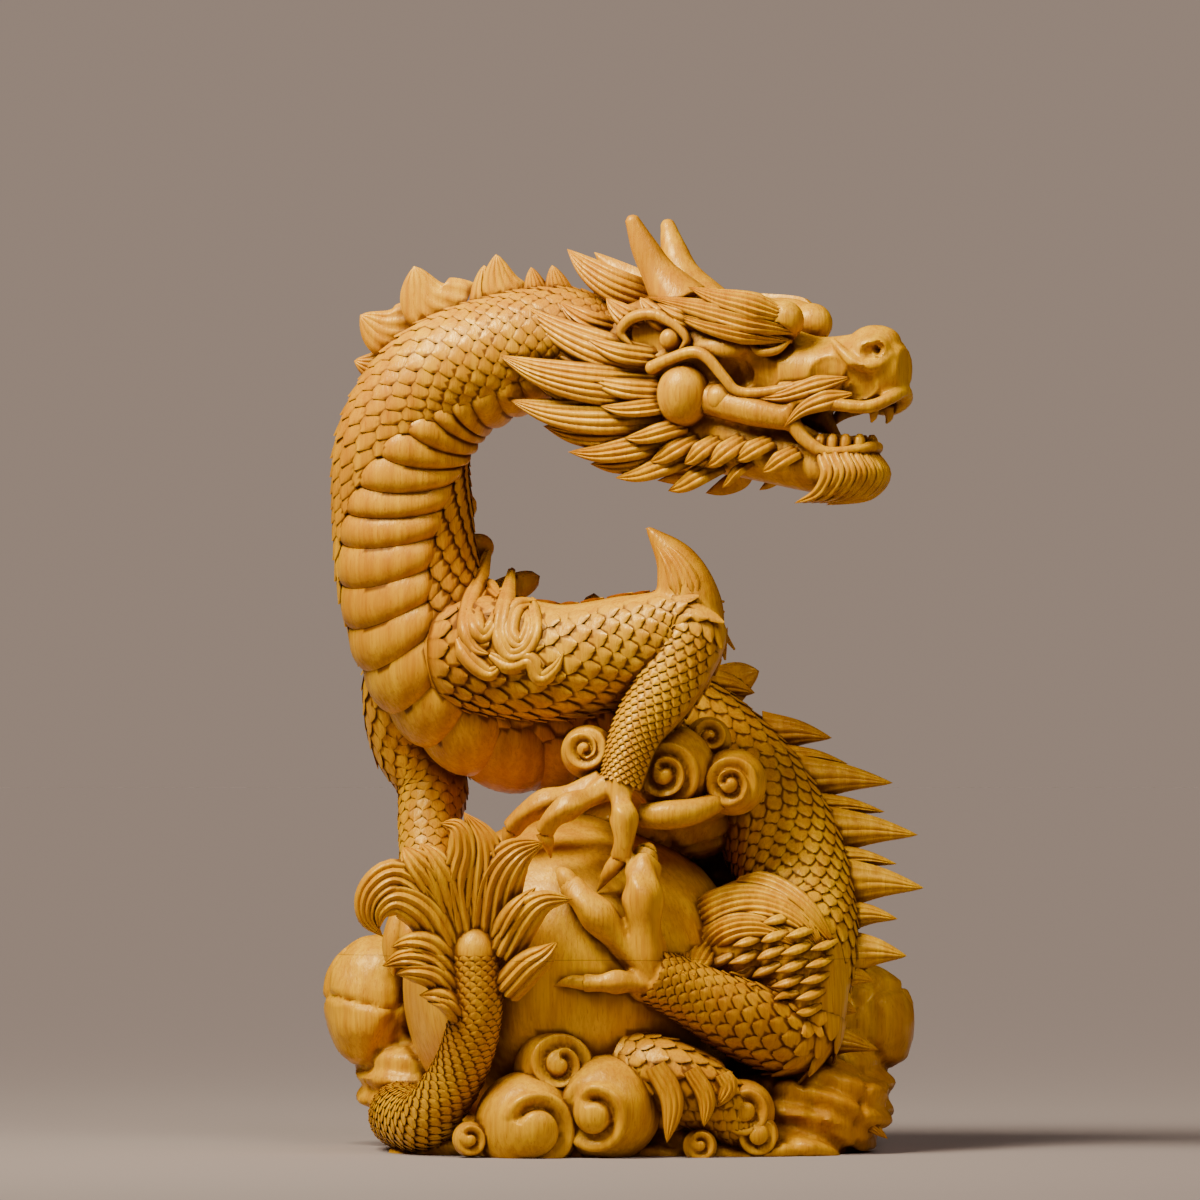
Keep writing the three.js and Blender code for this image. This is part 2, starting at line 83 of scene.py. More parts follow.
def pixel_of(point):
    away = point - EYE
    scale = PIXEL_SCALE / -away.dot(BACKWARD)
    middle = PHOTO_PIXELS / 2
    return middle + away.x * scale, middle - away.dot(EYE_UP) * scale


# Layout: the spine, tail and limbs as (centre, radius, crest direction), from the head end outwards

SPINE = [
    ((-1.1, -14, 172.3), 9.7, (0.1, 0, 1)),
    ((-13, -11, 174.9), 10.8, (0, 0.05, 1)),
    ((-25.9, -7, 171.5), 12.6, (-0.15, 0.1, 1)),
    ((-38.9, -3, 165.2), 13.6, (-0.55, 0.35, 0.75)),
    ((-46.5, 0, 153.3), 14.3, (-0.4, 0.75, 0.45)),
    ((-47.1, 3, 138.2), 14.9, (0.15, 0.95, 0.1)),
    ((-45, 4, 120.9), 15.6, (0.5, 0.85, 0.1)),
    ((-37.8, 5, 105.7), 16.4, (0.6, 0.65, 0.45)),
    ((-23.8, 8, 94.9), 16.2, (0.35, 0.55, 0.75)),
    ((-6.5, 12, 94.5), 15.6, (0.1, 0.35, 0.93)),
    ((10.8, 15, 89.5), 14.7, (0.25, 0.3, 0.9)),
    ((24.9, 10, 79.8), 13.4, (0.65, 0.15, 0.75)),
    ((34.6, 0, 66.8), 12.3, (0.95, 0.1, 0.35)),
    ((38.3, -9, 52.8), 12.1, (1, 0.05, 0.05)),
    ((37.8, -14, 40.9), 12.5, (0.97, -0.05, -0.2)),
    ((34, -8, 26), 11, (0.8, 0.1, -0.55)),
]
TAIL = [
    ((41, 15, 9), 8, (0.3, 0.3, 1)),
    ((20, 34, 9), 8, (0, 0.3, 1)),
    ((-13, 40, 8.4), 7.6, (0, 0.3, 1)),
    ((-36.8, 33, 8), 7.2, (-0.3, 0.3, 1)),
    ((-46, 12, 7.6), 6.9, (-0.7, 0, 0.7)),
    ((-46.6, -8, 7.4), 6.6, (-0.9, -0.2, 0.5)),
    ((-41.1, -26, 8), 6.2, (-0.7, -0.6, 0.3)),
    ((-34.2, -35, 18.2), 5.6, (-0.3, -0.9, 0.3)),
    ((-30.7, -39, 30.1), 5.3, (0, -1, 0.1)),
    ((-30.7, -39, 43), 5, (0, -1, 0)),
]
FRONT = (0, -1, 0)
NEAR_ARM = [
    ((-44, 3, 106), 10, FRONT),
    ((-29, -7, 107), 13, FRONT),
    ((-12, -15, 105.5), 12.4, FRONT),
    ((3.5, -20.5, 109), 11, FRONT),
    ((14.6, -24, 111.5), 8.6, FRONT),
    ((10.4, -26, 100.3), 7.4, FRONT),
    ((3.9, -27, 89.5), 5.6, FRONT),
    ((0.4, -28, 78.5), 4.6, FRONT),
]
FAR_ARM = [
    ((-40, 7, 112), 8.6, FRONT),
    ((-46, 12, 103), 9.4, FRONT),
    ((-46.5, 18, 89.5), 8.2, FRONT),
    ((-41.1, 18, 79.8), 7.8, FRONT),
    ((-41.6, 14, 69), 6.6, FRONT),
    ((-41.5, 9, 58), 6, FRONT),
]
NEAR_LEG = [
    ((30, -9, 52), 9, FRONT),
    ((36, -16, 46), 12, FRONT),
    ((39, -19, 34.4), 10.5, FRONT),
    ((37.5, -22, 25.6), 8.4, FRONT),
    ((25.9, -28, 29), 8, FRONT),
    ((15.1, -32, 34.4), 6.4, FRONT),
    ((6.5, -35, 38.7), 5.4, FRONT),
]
SHOULDER = ((-27, -5, 106.5), (12.2, 11.4, 12.2))
THIGH = ((29, -13.5, 44.5), (15, 13, 14.4))
PALM = ((5.6, -33.5, 37.5), (5.4, 4.6, 5))

# Toes: depths from the palm to the claw, then (pixel across, pixel down, radius) along the toe
TOES = [
    ((-29, -34, -31),
     [(620, 775, 3.4), (621, 800, 2.3), (624, 818, 3),
      (624, 840, 2.2), (621, 858, 2.5), (597, 892, 0.3)]),
    ((-28, -33, -30),
     [(612, 785, 3.2), (590, 797, 2.2), (570, 806, 2.9),
      (553, 818, 2.2), (544, 832, 2.3), (551, 858, 0.3)]),
    ((-26, -26, -22),
     [(602, 784, 3.2), (570, 795, 2.2), (546, 803, 3),
      (526, 814, 2.3), (511, 829, 2.3), (505, 856, 0.3)]),
    ((-34, -37, -29),
     [(650, 978, 4.2), (646, 950, 4.4), (645, 928, 3.3), (643, 900, 4.3),
      (642, 880, 3.6), (643, 864, 3.9), (651, 845, 1)]),
    ((-34, -38, -31),
     [(642, 965, 4), (618, 938, 3), (598, 916, 3.7),
      (582, 899, 2.8), (572, 888, 3), (556, 868, 0.4)]),
    ((-35, -39, -37),
     [(655, 980, 3.4), (634, 982, 2.2), (616, 982, 2.6),
      (600, 983, 1.8), (584, 983, 2), (554, 986, 0.3)]),
]
FAR_TOES = [
    (3.4, [(-41.5, 9, 58), (-43, -2, 54), (-45, -8, 47), (-45, -11, 41)]),
    (3.4, [(-41.5, 10, 58), (-46, 8, 52), (-49, 6, 44), (-49, 5, 37)]),
    (3.4, [(-41.5, 10, 58), (-43, 20, 54), (-44, 25, 46), (-43, 27, 39)]),
]

BALL_AT = Vector((-9.7, 0, 35.5))
BALL_RADIUS = 37.2
BELLY_HALF_ANGLE = 0.92
BELLY_PLATES = 27
BELLY_LAST = 0.74

# Curves

Ring = namedtuple("Ring", "centre radius along up side")


def through(points, share):
    """The point at a share of the way along a smooth line through points, which are numbers or vectors."""
    last = len(points) - 1
    place = min(max(share, 0.0), 1.0) * last
    i = min(int(place), last - 1)
    t = place - i
    p1 = points[i]
    p2 = points[i + 1]
    p0 = points[i - 1] if i > 0 else p1 * 2 - p2
    p3 = points[i + 2] if i + 2 <= last else p2 * 2 - p1
    slope = (p2 - p0) * t
    bend = (p0 * 2 - p1 * 5 + p2 * 4 - p3) * t**2
    twist = (p1 * 3 - p0 - p2 * 3 + p3) * t**3
    return (p1 * 2 + slope + bend + twist) * 0.5


class Course:
    """A smooth line through stations, with a radius and a crest, that a round form is swept along."""

    def __init__(self, stations):
        self.centres = [Vector(s[0]) for s in stations]
        self.radii = [s[1] for s in stations]
        self.crests = [Vector(s[2]) for s in stations]
        self.known = {}

    def at(self, share):
        share = round(min(max(share, 0.0), 1.0), 6)
        if share not in self.known:
            before = through(self.centres, share - 0.002)
            after = through(self.centres, share + 0.002)
            along = (after - before).normalized()
            crest = through(self.crests, share)
            up = (crest - along * crest.dot(along)).normalized()
            radius = through(self.radii, share)
            self.known[share] = Ring(through(self.centres, share), radius, along, up, along.cross(up))
        return self.known[share]

    def surface(self, share, angle, lift=0.0):
        """A point on the swept form; angle 0 is the crest."""
        ring = self.at(share)
        out = ring.up * math.cos(angle) + ring.side * math.sin(angle)
        return ring.centre + out * (ring.radius + lift)

    def length(self, first, last, parts=40):
        stops = [self.at(first + (last - first) * i / parts).centre for i in range(parts + 1)]
        return sum((b - a).length for a, b in zip(stops, stops[1:]))


# Shaping

def grid(bm, steps, sides, place):
    """A sheet of faces whose points are put where place(share along, share across) says."""
    verts = bmesh.ops.create_grid(bm, x_segments=steps, y_segments=sides, size=0.5)["verts"]
    for vert in verts:
        vert.co = place(vert.co.x + 0.5, vert.co.y + 0.5)
    return verts


def open_edges(verts):
    return list({edge for vert in verts if vert.is_valid for edge in vert.link_edges if edge.is_boundary})


def closed_tube(bm, steps, sides, place):
    """A sheet rolled up into a tube, with its seam welded and its ends filled."""
    verts = grid(bm, steps, sides, place)
    bmesh.ops.remove_doubles(bm, verts=verts, dist=WELD)
    rims = open_edges(verts)
    if rims:
        bmesh.ops.holes_fill(bm, edges=rims, sides=0)


def tube(bm, course, steps, sides, swell=lambda share, angle: 0.0):
    def place(share, turn):
        angle = TAU * turn
        return course.surface(share, angle, swell(share, angle))

    closed_tube(bm, steps, sides, place)


def rope(bm, points, radii, steps=16, sides=10, squareness=0.0):
    """A strand through points, with a radius at each; round, or towards square."""
    centres = [Vector(p) for p in points]
    radii = [float(r) for r in radii]

    def place(share, turn):
        along = (through(centres, share + 0.01) - through(centres, share - 0.01)).normalized()
        side = along.cross(Vector((0.31, 0.52, 0.8))).normalized()
        x = math.cos(TAU * turn)
        y = math.sin(TAU * turn)
        corner = (x**4 + y**4) ** (-0.25 * squareness) * (1 - 0.08 * squareness)
        out = side * x + along.cross(side) * y
        return through(centres, share) + out * (corner * through(radii, share))

    closed_tube(bm, steps, sides, place)


def rounded(bm, at, half, wide=32, high=20, turn=None):
    """An egg-shaped swelling. turn moves its own axes into the world's."""
    verts = bmesh.ops.create_uvsphere(bm, u_segments=wide, v_segments=high, radius=1)["verts"]
    for vert in verts:
        own = Vector((vert.co.x * half[0], vert.co.y * half[1], vert.co.z * half[2]))
        vert.co = (turn @ own if turn else own) + Vector(at)
    return verts


def leaf_shape(share):
    return (1 - share**2.4) * (0.7 + 0.55 * share)


def spike_shape(share):
    return (1 - share) ** 0.85


def fin_shape(share):
    return (1 - share) ** 0.8 * (1 + 0.7 * share)


def spindle_shape(share):
    return min(0.15 + 2.8 * share, 1.0) * (1 - share**2) * 1.1


def blunt_shape(share):
    return (1 - share**5) ** 0.6


def plume_shape(share):
    return (1 - share**1.7) * (0.8 + 0.5 * share)


def ribbon_shape(share):
    return min(0.4 + 4 * share, 1.0) * (1 - share**4)


def lock(bm, path, face, width, thick, grooves=4, steps=14, depth=0.45, shape=leaf_shape, both=False):
    """A pointed lock along path. Grooves that run together at the tip cut its face, or both its faces."""
    points = [Vector(p) for p in path]
    face = Vector(face)
    front = 4 * grooves
    back = front if both else 4
    sides = front + back
    rings = {}

    def ring(share):
        if share not in rings:
            along = through(points, min(share + 0.01, 1)) - through(points, max(share - 0.01, 0))
            across = along.cross(face).normalized()
            rings[share] = (through(points, share), across, across.cross(along).normalized())
        return rings[share]

    def cut(step):
        return depth * (1 - math.sin(math.pi * (step % 4) / 4))

    def place(share, turn):
        centre, across, out = ring(share)
        k = round(turn * sides) % sides
        full = shape(share)
        if k <= front:
            x = -1 + 2 * k / front
            z = 0.5 * thick * (1 - x * x) ** 0.6 - (cut(k) if 0 < k < front else 0)
        else:
            x = 1 - 2 * (k - front) / back
            z = -0.5 * thick * (1 - x * x) ** 0.6 + (cut(k - front) if both else 0)
        return centre + across * (0.5 * width * full * x) + out * (z * full**0.7)

    closed_tube(bm, steps, sides, place)


def undercut(bm, verts, point):
    """Closes a raised sheet below, by drawing its edge down to one point."""
    lowered = bmesh.ops.extrude_edge_only(bm, edges=open_edges(verts))["geom"]
    below = [part for part in lowered if isinstance(part, bmesh.types.BMVert)]
    bmesh.ops.pointmerge(bm, verts=below, merge_co=point)


def scale_master():
    """One scale, a unit long and two wide: round at its free end, domed, and undercut to a point below."""
    bm = bmesh.new()
    straight = 0.3

    def place(along, across):
        a = 2 * across - 1
        rounding = max((along - straight) / (1 - straight), 0.0)
        narrowing = math.sqrt(max(1 - rounding**2, 0.0))
        rise = (0.1 + 0.9 * along**0.8) * (1 - 0.4 * a * a)
        return Vector((a * max(narrowing, 0.16), along, rise))

    undercut(bm, grid(bm, 4, 4, place), Vector((0, 0.4, -1.6)))
    bmesh.ops.recalc_face_normals(bm, faces=bm.faces)
    mesh = bpy.data.meshes.new("scale_master")
    bm.to_mesh(mesh)
    bm.free()
    return mesh


def stamp(bm, master, across, along, lift, at):
    """Adds a copy of the master scale with the given axes."""
    copy = master.copy()
    axes = Matrix((across, along, lift)).transposed().to_4x4()
    copy.transform(Matrix.Translation(at) @ axes)
    bm.from_mesh(copy)
    bpy.data.meshes.remove(copy)


# How far a scale reaches over the next rows, in rows, and how deep its root lies in the skin
SCALE_STRETCH = 1.6
SCALE_SINK = 0.25


def cover_with_scales(bm, course, first, last, count, sector, rise, middle=0.0):
    """Overlapping rows of scales around a swept form, each row set between the scales of the last."""
    share = first
    row = 0
    whole = course.length(first, last) / (last - first)
    while share < last:
        ring = course.at(share)
        pitch = 2 * sector * ring.radius / count
        step = 0.7 * pitch / whole
        for i in range(count + (row % 2 == 0)):
            angle = middle - sector + (i + 0.5 * (row % 2)) * 2 * sector / count
            at = course.surface(share, angle, -SCALE_SINK)
            reach = (course.surface(min(share + step, 1), angle, -SCALE_SINK) - at) * SCALE_STRETCH
            ahead = course.surface(share, angle + 0.05, -SCALE_SINK)
            around = ahead - course.surface(share, angle - 0.05, -SCALE_SINK)
            around.normalize()
            lift = around.cross(reach).normalized()
            stamp(bm, SCALE, around * (0.56 * pitch), reach, lift * rise, at)
        share += step
        row += 1


SCALE = scale_master()

pieces = []


def finish_piece(name, bm, recalculate=True):
    """Turns a bmesh in millimetres into a piece in metres that stands for the carving's solid."""
    if recalculate:
        bmesh.ops.recalc_face_normals(bm, faces=bm.faces)
    bmesh.ops.scale(bm, vec=(MM, MM, MM), verts=bm.verts)
    for face in bm.faces:
        face.smooth = True
    mesh = bpy.data.meshes.new(name)
    bm.to_mesh(mesh)
    bm.free()
    mesh.set_sharp_from_angle(angle=SHARP_ANGLE)
    piece = bpy.data.objects.new(name, mesh)
    bpy.context.collection.objects.link(piece)
    pieces.append(piece)
    return piece


def fused(bm, voxel, smoothing):
    """The forms of a bmesh melted into one skin, with softened joints, as a mesh in millimetres."""
    mesh = bpy.data.meshes.new("fused")
    bmesh.ops.recalc_face_normals(bm, faces=bm.faces)
    bm.to_mesh(mesh)
    bm.free()
    holder = bpy.data.objects.new("fused", mesh)
    bpy.context.collection.objects.link(holder)
    remesh = holder.modifiers.new("skin", "REMESH")
    remesh.mode = "VOXEL"
    remesh.voxel_size = voxel
    soften = holder.modifiers.new("soften", "SMOOTH")
    soften.factor = 0.5
    soften.iterations = smoothing
    shaped = bpy.data.meshes.new_from_object(holder.evaluated_get(bpy.context.evaluated_depsgraph_get()))
    bpy.data.objects.remove(holder)
    return shaped


def tree_of(chosen):
    """A search tree over the faces of pieces, in metres."""
    corners = []
    faces = []
    for piece in chosen:
        start = len(corners)
        corners.extend(vert.co.copy() for vert in piece.data.vertices)
        faces.extend([start + i for i in polygon.vertices] for polygon in piece.data.polygons)
    return BVHTree.FromPolygons(corners, faces)


# Where a line of sight meets no piece, the nearest surface is looked for from this depth
SURFACE_DEPTH = -18


def laid(tree, across, down, lift):
    """The point that is seen at a pixel on the pieces of a tree, lifted off their surface."""
    place, normal, _, _ = tree.ray_cast(EYE * MM, sight(across, down).normalized())
    if place is None:
        place, normal, _, _ = tree.find_nearest(seen(across, down, SURFACE_DEPTH) * MM)
    return place / MM + normal * lift


# Trunk: core, belly plates, dorsal fins and scales

spine = Course(SPINE)
tail = Course(TAIL)

# Neck fins as (root pixel, tip pixel, width, sideways bend)
NECK_FINS = [
    ((562, 306), (552, 265), 5.2, 0),
    ((545, 306), (531, 267), 5, -0.6),
    ((516, 306), (496, 254), 7.4, -1.4),
    ((489, 306), (484, 265), 6, 0),
    ((455, 311), (414, 266), 10.5, -3),
    ((432, 318), (414, 288), 6.6, -1),
    ((408, 332), (360, 315), 9.6, -1.6),
    ((388, 362), (354, 361), 6, -1),
]
# Tips of the fins that show past the inner edge of the neck
EDGE_FINS = [(476, 506), (494, 546), (540, 576), (594, 593)]
EDGE_FIN_BEHIND = 7

# Spikes down the back as (tip pixel, width)
BACK_SPIKES = [
    ((755, 693), 10),
    ((832, 738), 10.5),
    ((848, 764), 7),
    ((893, 783), 11),
    ((885, 812), 7),
    ((918, 835), 11.5),
    ((897, 864), 7),
    ((924, 888), 12),
    ((898, 919), 8),
    ((907, 956), 11.5),
    ((874, 981), 9),
    ((857, 1012), 8.5),
    ((879, 1050), 10),
]


def belly_plate(bm, course, first, last, half_angle, lift):
    """A plate across the belly. Its edge towards the tail is raised and hangs over the next."""
    overlap = 1.16

    def place(along, across):
        a = 2 * across - 1
        droop = 0.35 * (1 - a * a) * along
        share = first + (last - first) * (along * overlap + droop - 0.15)
        roll = max(math.sin(math.pi * along**1.4), 0.0) ** 0.55
        width = half_angle * (1 - 0.1 * max(along - 0.6, 0) ** 2)
        height = -1.0 + lift * (1 - abs(a) ** 6) * roll
        return course.surface(share, math.pi + a * width, height)

    verts = grid(bm, 9, 22, place)
    undercut(bm, verts, course.surface((first + last) / 2, math.pi, -5))


def crest_near(across, down):
    """The share of the spine whose crest is seen nearest to a pixel."""
    def gap(share):
        x, y = pixel_of(spine.surface(share, 0))
        return math.hypot(x - across, y - down)

    return min((i / 300 for i in range(301)), key=gap)


# Breadth of a neck fin's lock for each millimetre of its width
NECK_FIN_BREADTH = 1.5


def neck_fin(bm, root, tip, width, bend):
    ring = spine.at(crest_near(*root))
    depth = (ring.centre + ring.up * ring.radius).y
    start = seen(*root, depth)
    end = seen(*tip, depth)
    start += (start - end).normalized() * 1.5
    sideways = (end - start).cross(Vector(FRONT)).normalized()
    middle = (start + end) / 2 + sideways * bend
    lock(bm, [start, middle, end], FRONT, width * NECK_FIN_BREADTH, 4, 5, 18, 0.45, fin_shape, both=True)


def back_spike(bm, tip, width):
    """A spike that stands out level from the crest at its own height."""
    shares = [0.6 + 0.4 * i / 200 for i in range(201)]
    share = min(shares, key=lambda s: abs(pixel_of(spine.surface(s, 0))[1] - tip[1]))
    crest = spine.surface(share, 0)
    end = seen(*tip, crest.y)
    start = crest + (crest - end).normalized() * 3.5 + Vector((0, 0, 0.8))
    middle = (start + end) / 2 + Vector((0, 0, 0.7))
    lock(bm, [start, middle, end], FRONT, width, 6, 4, 14, 0.5, spike_shape, both=True)


def edge_fin(bm, tip):
    """A small fin behind the neck, whose tip shows past the neck's edge."""
    def gap(share):
        x, y = pixel_of(spine.at(share).centre)
        return math.hypot(x - tip[0], y - tip[1])

    ring = spine.at(min((0.3 + 0.4 * i / 200 for i in range(201)), key=gap))
    end = seen(*tip, ring.centre.y + EDGE_FIN_BEHIND)
    start = ring.centre + (end - ring.centre).normalized() * (ring.radius - 2)
    lock(bm, [start, start.lerp(end, 0.5), end], FRONT, 6.4, 4.4, 2, 12, 0.4, blunt_shape, both=True)


def hidden_fin(bm, share, length, width):
    """A fin on the part of the crest that the photo shows only edge-on, leaning away from the head."""
    ring = spine.at(share)
    start = ring.centre + ring.up * (ring.radius - 2)
    lean = ring.up * length + ring.along * (0.6 * length)
    path = [start, start + lean * 0.6 - ring.along * 0.8, start + lean]
    lock(bm, path, ring.side, width, 3.4, 3, 12, 0.35, fin_shape, both=True)


# Fins on the part of the crest seen edge-on: count, shares of the spine they take up, length and width
HIDDEN_FINS = 13
HIDDEN_FIRST = 0.29
HIDDEN_REACH = 0.39
HIDDEN_LENGTH = 10
HIDDEN_WIDTH = 11
# The ribs under the tail follow a sine over this angle along its whole length
TAIL_RIB_TURNS = 190


def trunk():
    bm = bmesh.new()

    def ribbed(share, angle):
        ribs = abs(math.sin(share * TAIL_RIB_TURNS)) * min(max((abs(angle - math.pi) - 1.0) / -0.5, 0), 1)
        return -0.5 + 0.7 * ribs

    tube(bm, spine, 260, 48, lambda share, angle: -0.5)
    tube(bm, tail, 300, 28, ribbed)
    rounded(bm, TAIL[-1][0], (4.9, 4.9, 6))
    for i in range(BELLY_PLATES):
        first = BELLY_LAST * i / BELLY_PLATES
        last = BELLY_LAST * (i + 1) / BELLY_PLATES
        belly_plate(bm, spine, first, last, BELLY_HALF_ANGLE, 2.7)
    for fin in NECK_FINS:
        neck_fin(bm, *fin)
    for i in range(HIDDEN_FINS):
        size = 1 if i % 2 == 0 else 0.72
        share = HIDDEN_FIRST + HIDDEN_REACH * i / (HIDDEN_FINS - 1)
        hidden_fin(bm, share, HIDDEN_LENGTH * size, HIDDEN_WIDTH)
    for tip in EDGE_FINS:
        edge_fin(bm, tip)
    for spike in BACK_SPIKES:
        back_spike(bm, *spike)
    return finish_piece("trunk", bm)


def trunk_scales():
    bm = bmesh.new()
    sector = math.pi - BELLY_HALF_ANGLE + 0.12
    cover_with_scales(bm, spine, 0.0, BELLY_LAST, 15, sector, rise=0.85)
    cover_with_scales(bm, spine, BELLY_LAST, 0.995, 20, math.pi * 0.97, rise=0.9)
    cover_with_scales(bm, tail, 0.05, 0.99, 9, math.pi * 0.72, rise=0.75)
    return finish_piece("trunk_scales", bm, recalculate=False)


# Limbs and feet

# The fin on the elbow as (pixel across, pixel down, radius), and its strands with their lift off its middle
ELBOW_DEPTH = -22
ELBOW_FIN = [(686, 640, 8.4), (688, 602, 7.2), (676, 562, 4.6), (647, 527, 0.5)]
ELBOW_LOCKS = [
    ([(694, 612, 5.6), (690, 585, 5.2), (678, 560, 4), (656, 536, 0.6)], 5),
    ([(680, 606, 6), (678, 582, 5), (668, 560, 3.6), (652, 538, 0.4)], 4.4),
]


def toe_points(depths, stations):
    depths = [float(depth) for depth in depths]
    last = len(stations) - 1
    return [seen(a, d, through(depths, i / last)) for i, (a, d, _) in enumerate(stations)]


def toe(bm, depths, stations):
    """The knuckled part of a toe, flattened like cut wood, without its claw."""
    points = toe_points(depths, stations)
    radii = [radius for _, _, radius in stations]
    rope(bm, points[:-1], radii[:-1], 40, 24, squareness=0.9)


def claw(bm, depths, stations):
    """The pointed end of a toe, which comes out of its last knuckle."""
    points = toe_points(depths, stations)
    radius = stations[-2][2]
    hook = points[-2].lerp(points[-1], 0.5) + Vector((0, -0.8, 0.6))
    rope(bm, [points[-2], hook, points[-1]], (0.8 * radius, 0.62 * radius, 0.12), 18, 12)


def limbs():
    bm = bmesh.new()
    for stations in (NEAR_ARM, FAR_ARM, NEAR_LEG):
        tube(bm, Course(stations), 70, 32, lambda share, angle: -0.4)
    for at, half in (SHOULDER, THIGH, PALM):
        rounded(bm, at, half)
    for depths, stations in TOES:
        toe(bm, depths, stations)
    for radius, path in FAR_TOES:
        rope(bm, path, [radius, radius * 0.9, radius * 0.8, 0.3], 26, 14)
    elbow = [seen(across, down, ELBOW_DEPTH) for across, down, _ in ELBOW_FIN]
    rope(bm, elbow, [radius for _, _, radius in ELBOW_FIN], 40, 24)
    skin = fused(bm, 0.55, 2)
    bm = bmesh.new()
    for pixels, width in ELBOW_LOCKS:
        path = [seen(across, down, ELBOW_DEPTH - lift) for across, down, lift in pixels]
        lock(bm, path, FRONT, width, 3, 3, 22, 0.5, spindle_shape)
    for depths, stations in TOES:
        claw(bm, depths, stations)
    bmesh.ops.recalc_face_normals(bm, faces=bm.faces)
    bm.from_mesh(skin)
    return finish_piece("limbs", bm, recalculate=False)


def limb_scales():
    bm = bmesh.new()
    cover_with_scales(bm, Course(NEAR_ARM), 0.09, 0.98, 15, 2.57, rise=1.0, middle=1.78)
    cover_with_scales(bm, Course(FAR_ARM), 0.1, 0.95, 13, math.pi * 0.96, rise=0.5)
    cover_with_scales(bm, Course(NEAR_LEG), 0.42, 0.97, 13, math.pi * 0.96, rise=0.95)
    return finish_piece("limb_scales", bm, recalculate=False)


# Flames on the shoulder and the thigh, as pixels along each strand

SHOULDER_STRANDS = [
    [(486, 552), (472, 590), (468, 625), (476, 648), (492, 655)],
    [(496, 556), (483, 590), (477, 622), (486, 637), (497, 622), (502, 596), (509, 572)],
    [(512, 574), (506, 605), (502, 635), (512, 655), (528, 650), (537, 630), (532, 605), (536, 594)],
    [(536, 594), (517, 612), (512, 635), (522, 645), (529, 628), (526, 612)],
    [(492, 655), (512, 664), (531, 660), (542, 676), (556, 668), (566, 650)],
    [(460, 640), (474, 660), (492, 672), (505, 662)],
]
# Broad grooved locks over the thigh as (pixels, width)
THIGH_LOCKS = [
    ([(678, 975), (688, 938), (716, 910), (756, 902), (798, 918), (826, 956)], 9),
    ([(690, 978), (704, 948), (732, 928), (768, 928), (800, 948)], 7),
    ([(738, 884), (774, 892), (806, 914), (834, 948)], 7.5),
]
FEATHER_ROWS = 5
FEATHER_COUNT = 6
FEATHER_FIRST = (704, 966)
FEATHER_STEP = (22, 12.5)
FEATHER_ROW_STEP = (15, -10)
FEATHER_REACH = (28, -11)
FEATHER_EDGE = 812


def flames():
    """Carved strands and feathers laid on the limbs and the trunk."""
    carried_by = tree_of([piece for piece in pieces if piece.name in ("trunk", "limbs")])
    bm = bmesh.new()
    for strand in SHOULDER_STRANDS:
        points = [laid(carried_by, a, d, 0.7) for a, d in strand]
        lock(bm, points, (-0.2, -1, 0.15), 4.6, 3.4, 2, 40, 0.5, ribbon_shape)
    for strand, width in THIGH_LOCKS:
        points = [laid(carried_by, a, d, 0.3) for a, d in strand]
        lock(bm, points, (0.1, -1, 0.4), width, 3.6, round(width / 1.4), 36, 0.55, ribbon_shape)
    for row in range(FEATHER_ROWS):
        for k in range(FEATHER_COUNT - row % 2):
            across = FEATHER_FIRST[0] + FEATHER_STEP[0] * (k + 0.5 * (row % 2)) + FEATHER_ROW_STEP[0] * row
            down = FEATHER_FIRST[1] + FEATHER_STEP[1] * (k + 0.5 * (row % 2)) + FEATHER_ROW_STEP[1] * row
            if across > FEATHER_EDGE:
                continue
            tip = laid(carried_by, across, down, 1.6)
            root = laid(carried_by, across + FEATHER_REACH[0], down + FEATHER_REACH[1], -0.4)
            middle = laid(carried_by, across + FEATHER_REACH[0] * 0.5, down + FEATHER_REACH[1] * 0.4, 1.3)
            lock(bm, [root, middle, tip], (-0.3, -1, 0.5), 3.1, 1.8, 2, 10, 0.25)
    return finish_piece("flames", bm)


# Tail tuft: each lock as pixels from its root to its tip, and its width

TUFT_DEPTH = -38
TUFT_BULGE = 4.5
TUFT_HEART = (462, 918)
TUFT_HEART_HALF = (11, 2.4, 12)
TUFT_LOCKS = [
    ([(478, 935), (482, 885), (482, 845), (464, 812)], 10),
    ([(456, 930), (446, 890), (432, 862), (420, 843)], 9),
    ([(452, 930), (432, 886), (414, 862), (403, 847)], 9),
    ([(488, 935), (496, 885), (515, 856), (544, 842)], 10),
    ([(464, 935), (456, 885), (463, 850), (457, 828), (440, 823)], 6.4),
    ([(447, 940), (425, 900), (396, 880), (373, 894), (368, 918), (383, 937)], 8),
    ([(447, 952), (425, 915), (398, 900), (380, 911), (378, 931)], 7),
    ([(449, 966), (430, 948), (410, 943), (391, 947)], 5.4),
    ([(452, 988), (430, 964), (405, 959), (382, 966)], 6),
    ([(455, 998), (435, 977), (412, 972), (396, 974)], 5),
    ([(457, 1010), (440, 997), (419, 995)], 4),
    ([(460, 1018), (445, 1004), (427, 1001)], 3.4),
    ([(500, 938), (515, 911), (536, 887)], 4.4),
    ([(504, 955), (523, 920), (543, 902), (573, 899)], 6.4),
    ([(506, 990), (527, 968), (545, 955), (557, 942)], 6),
]


# Breadth of a tuft lock for each millimetre of its width, its thickness, and the width of one strand
TUFT_FULLNESS = 1.45
TUFT_THICK = 5.8
TUFT_STRAND = 1.7


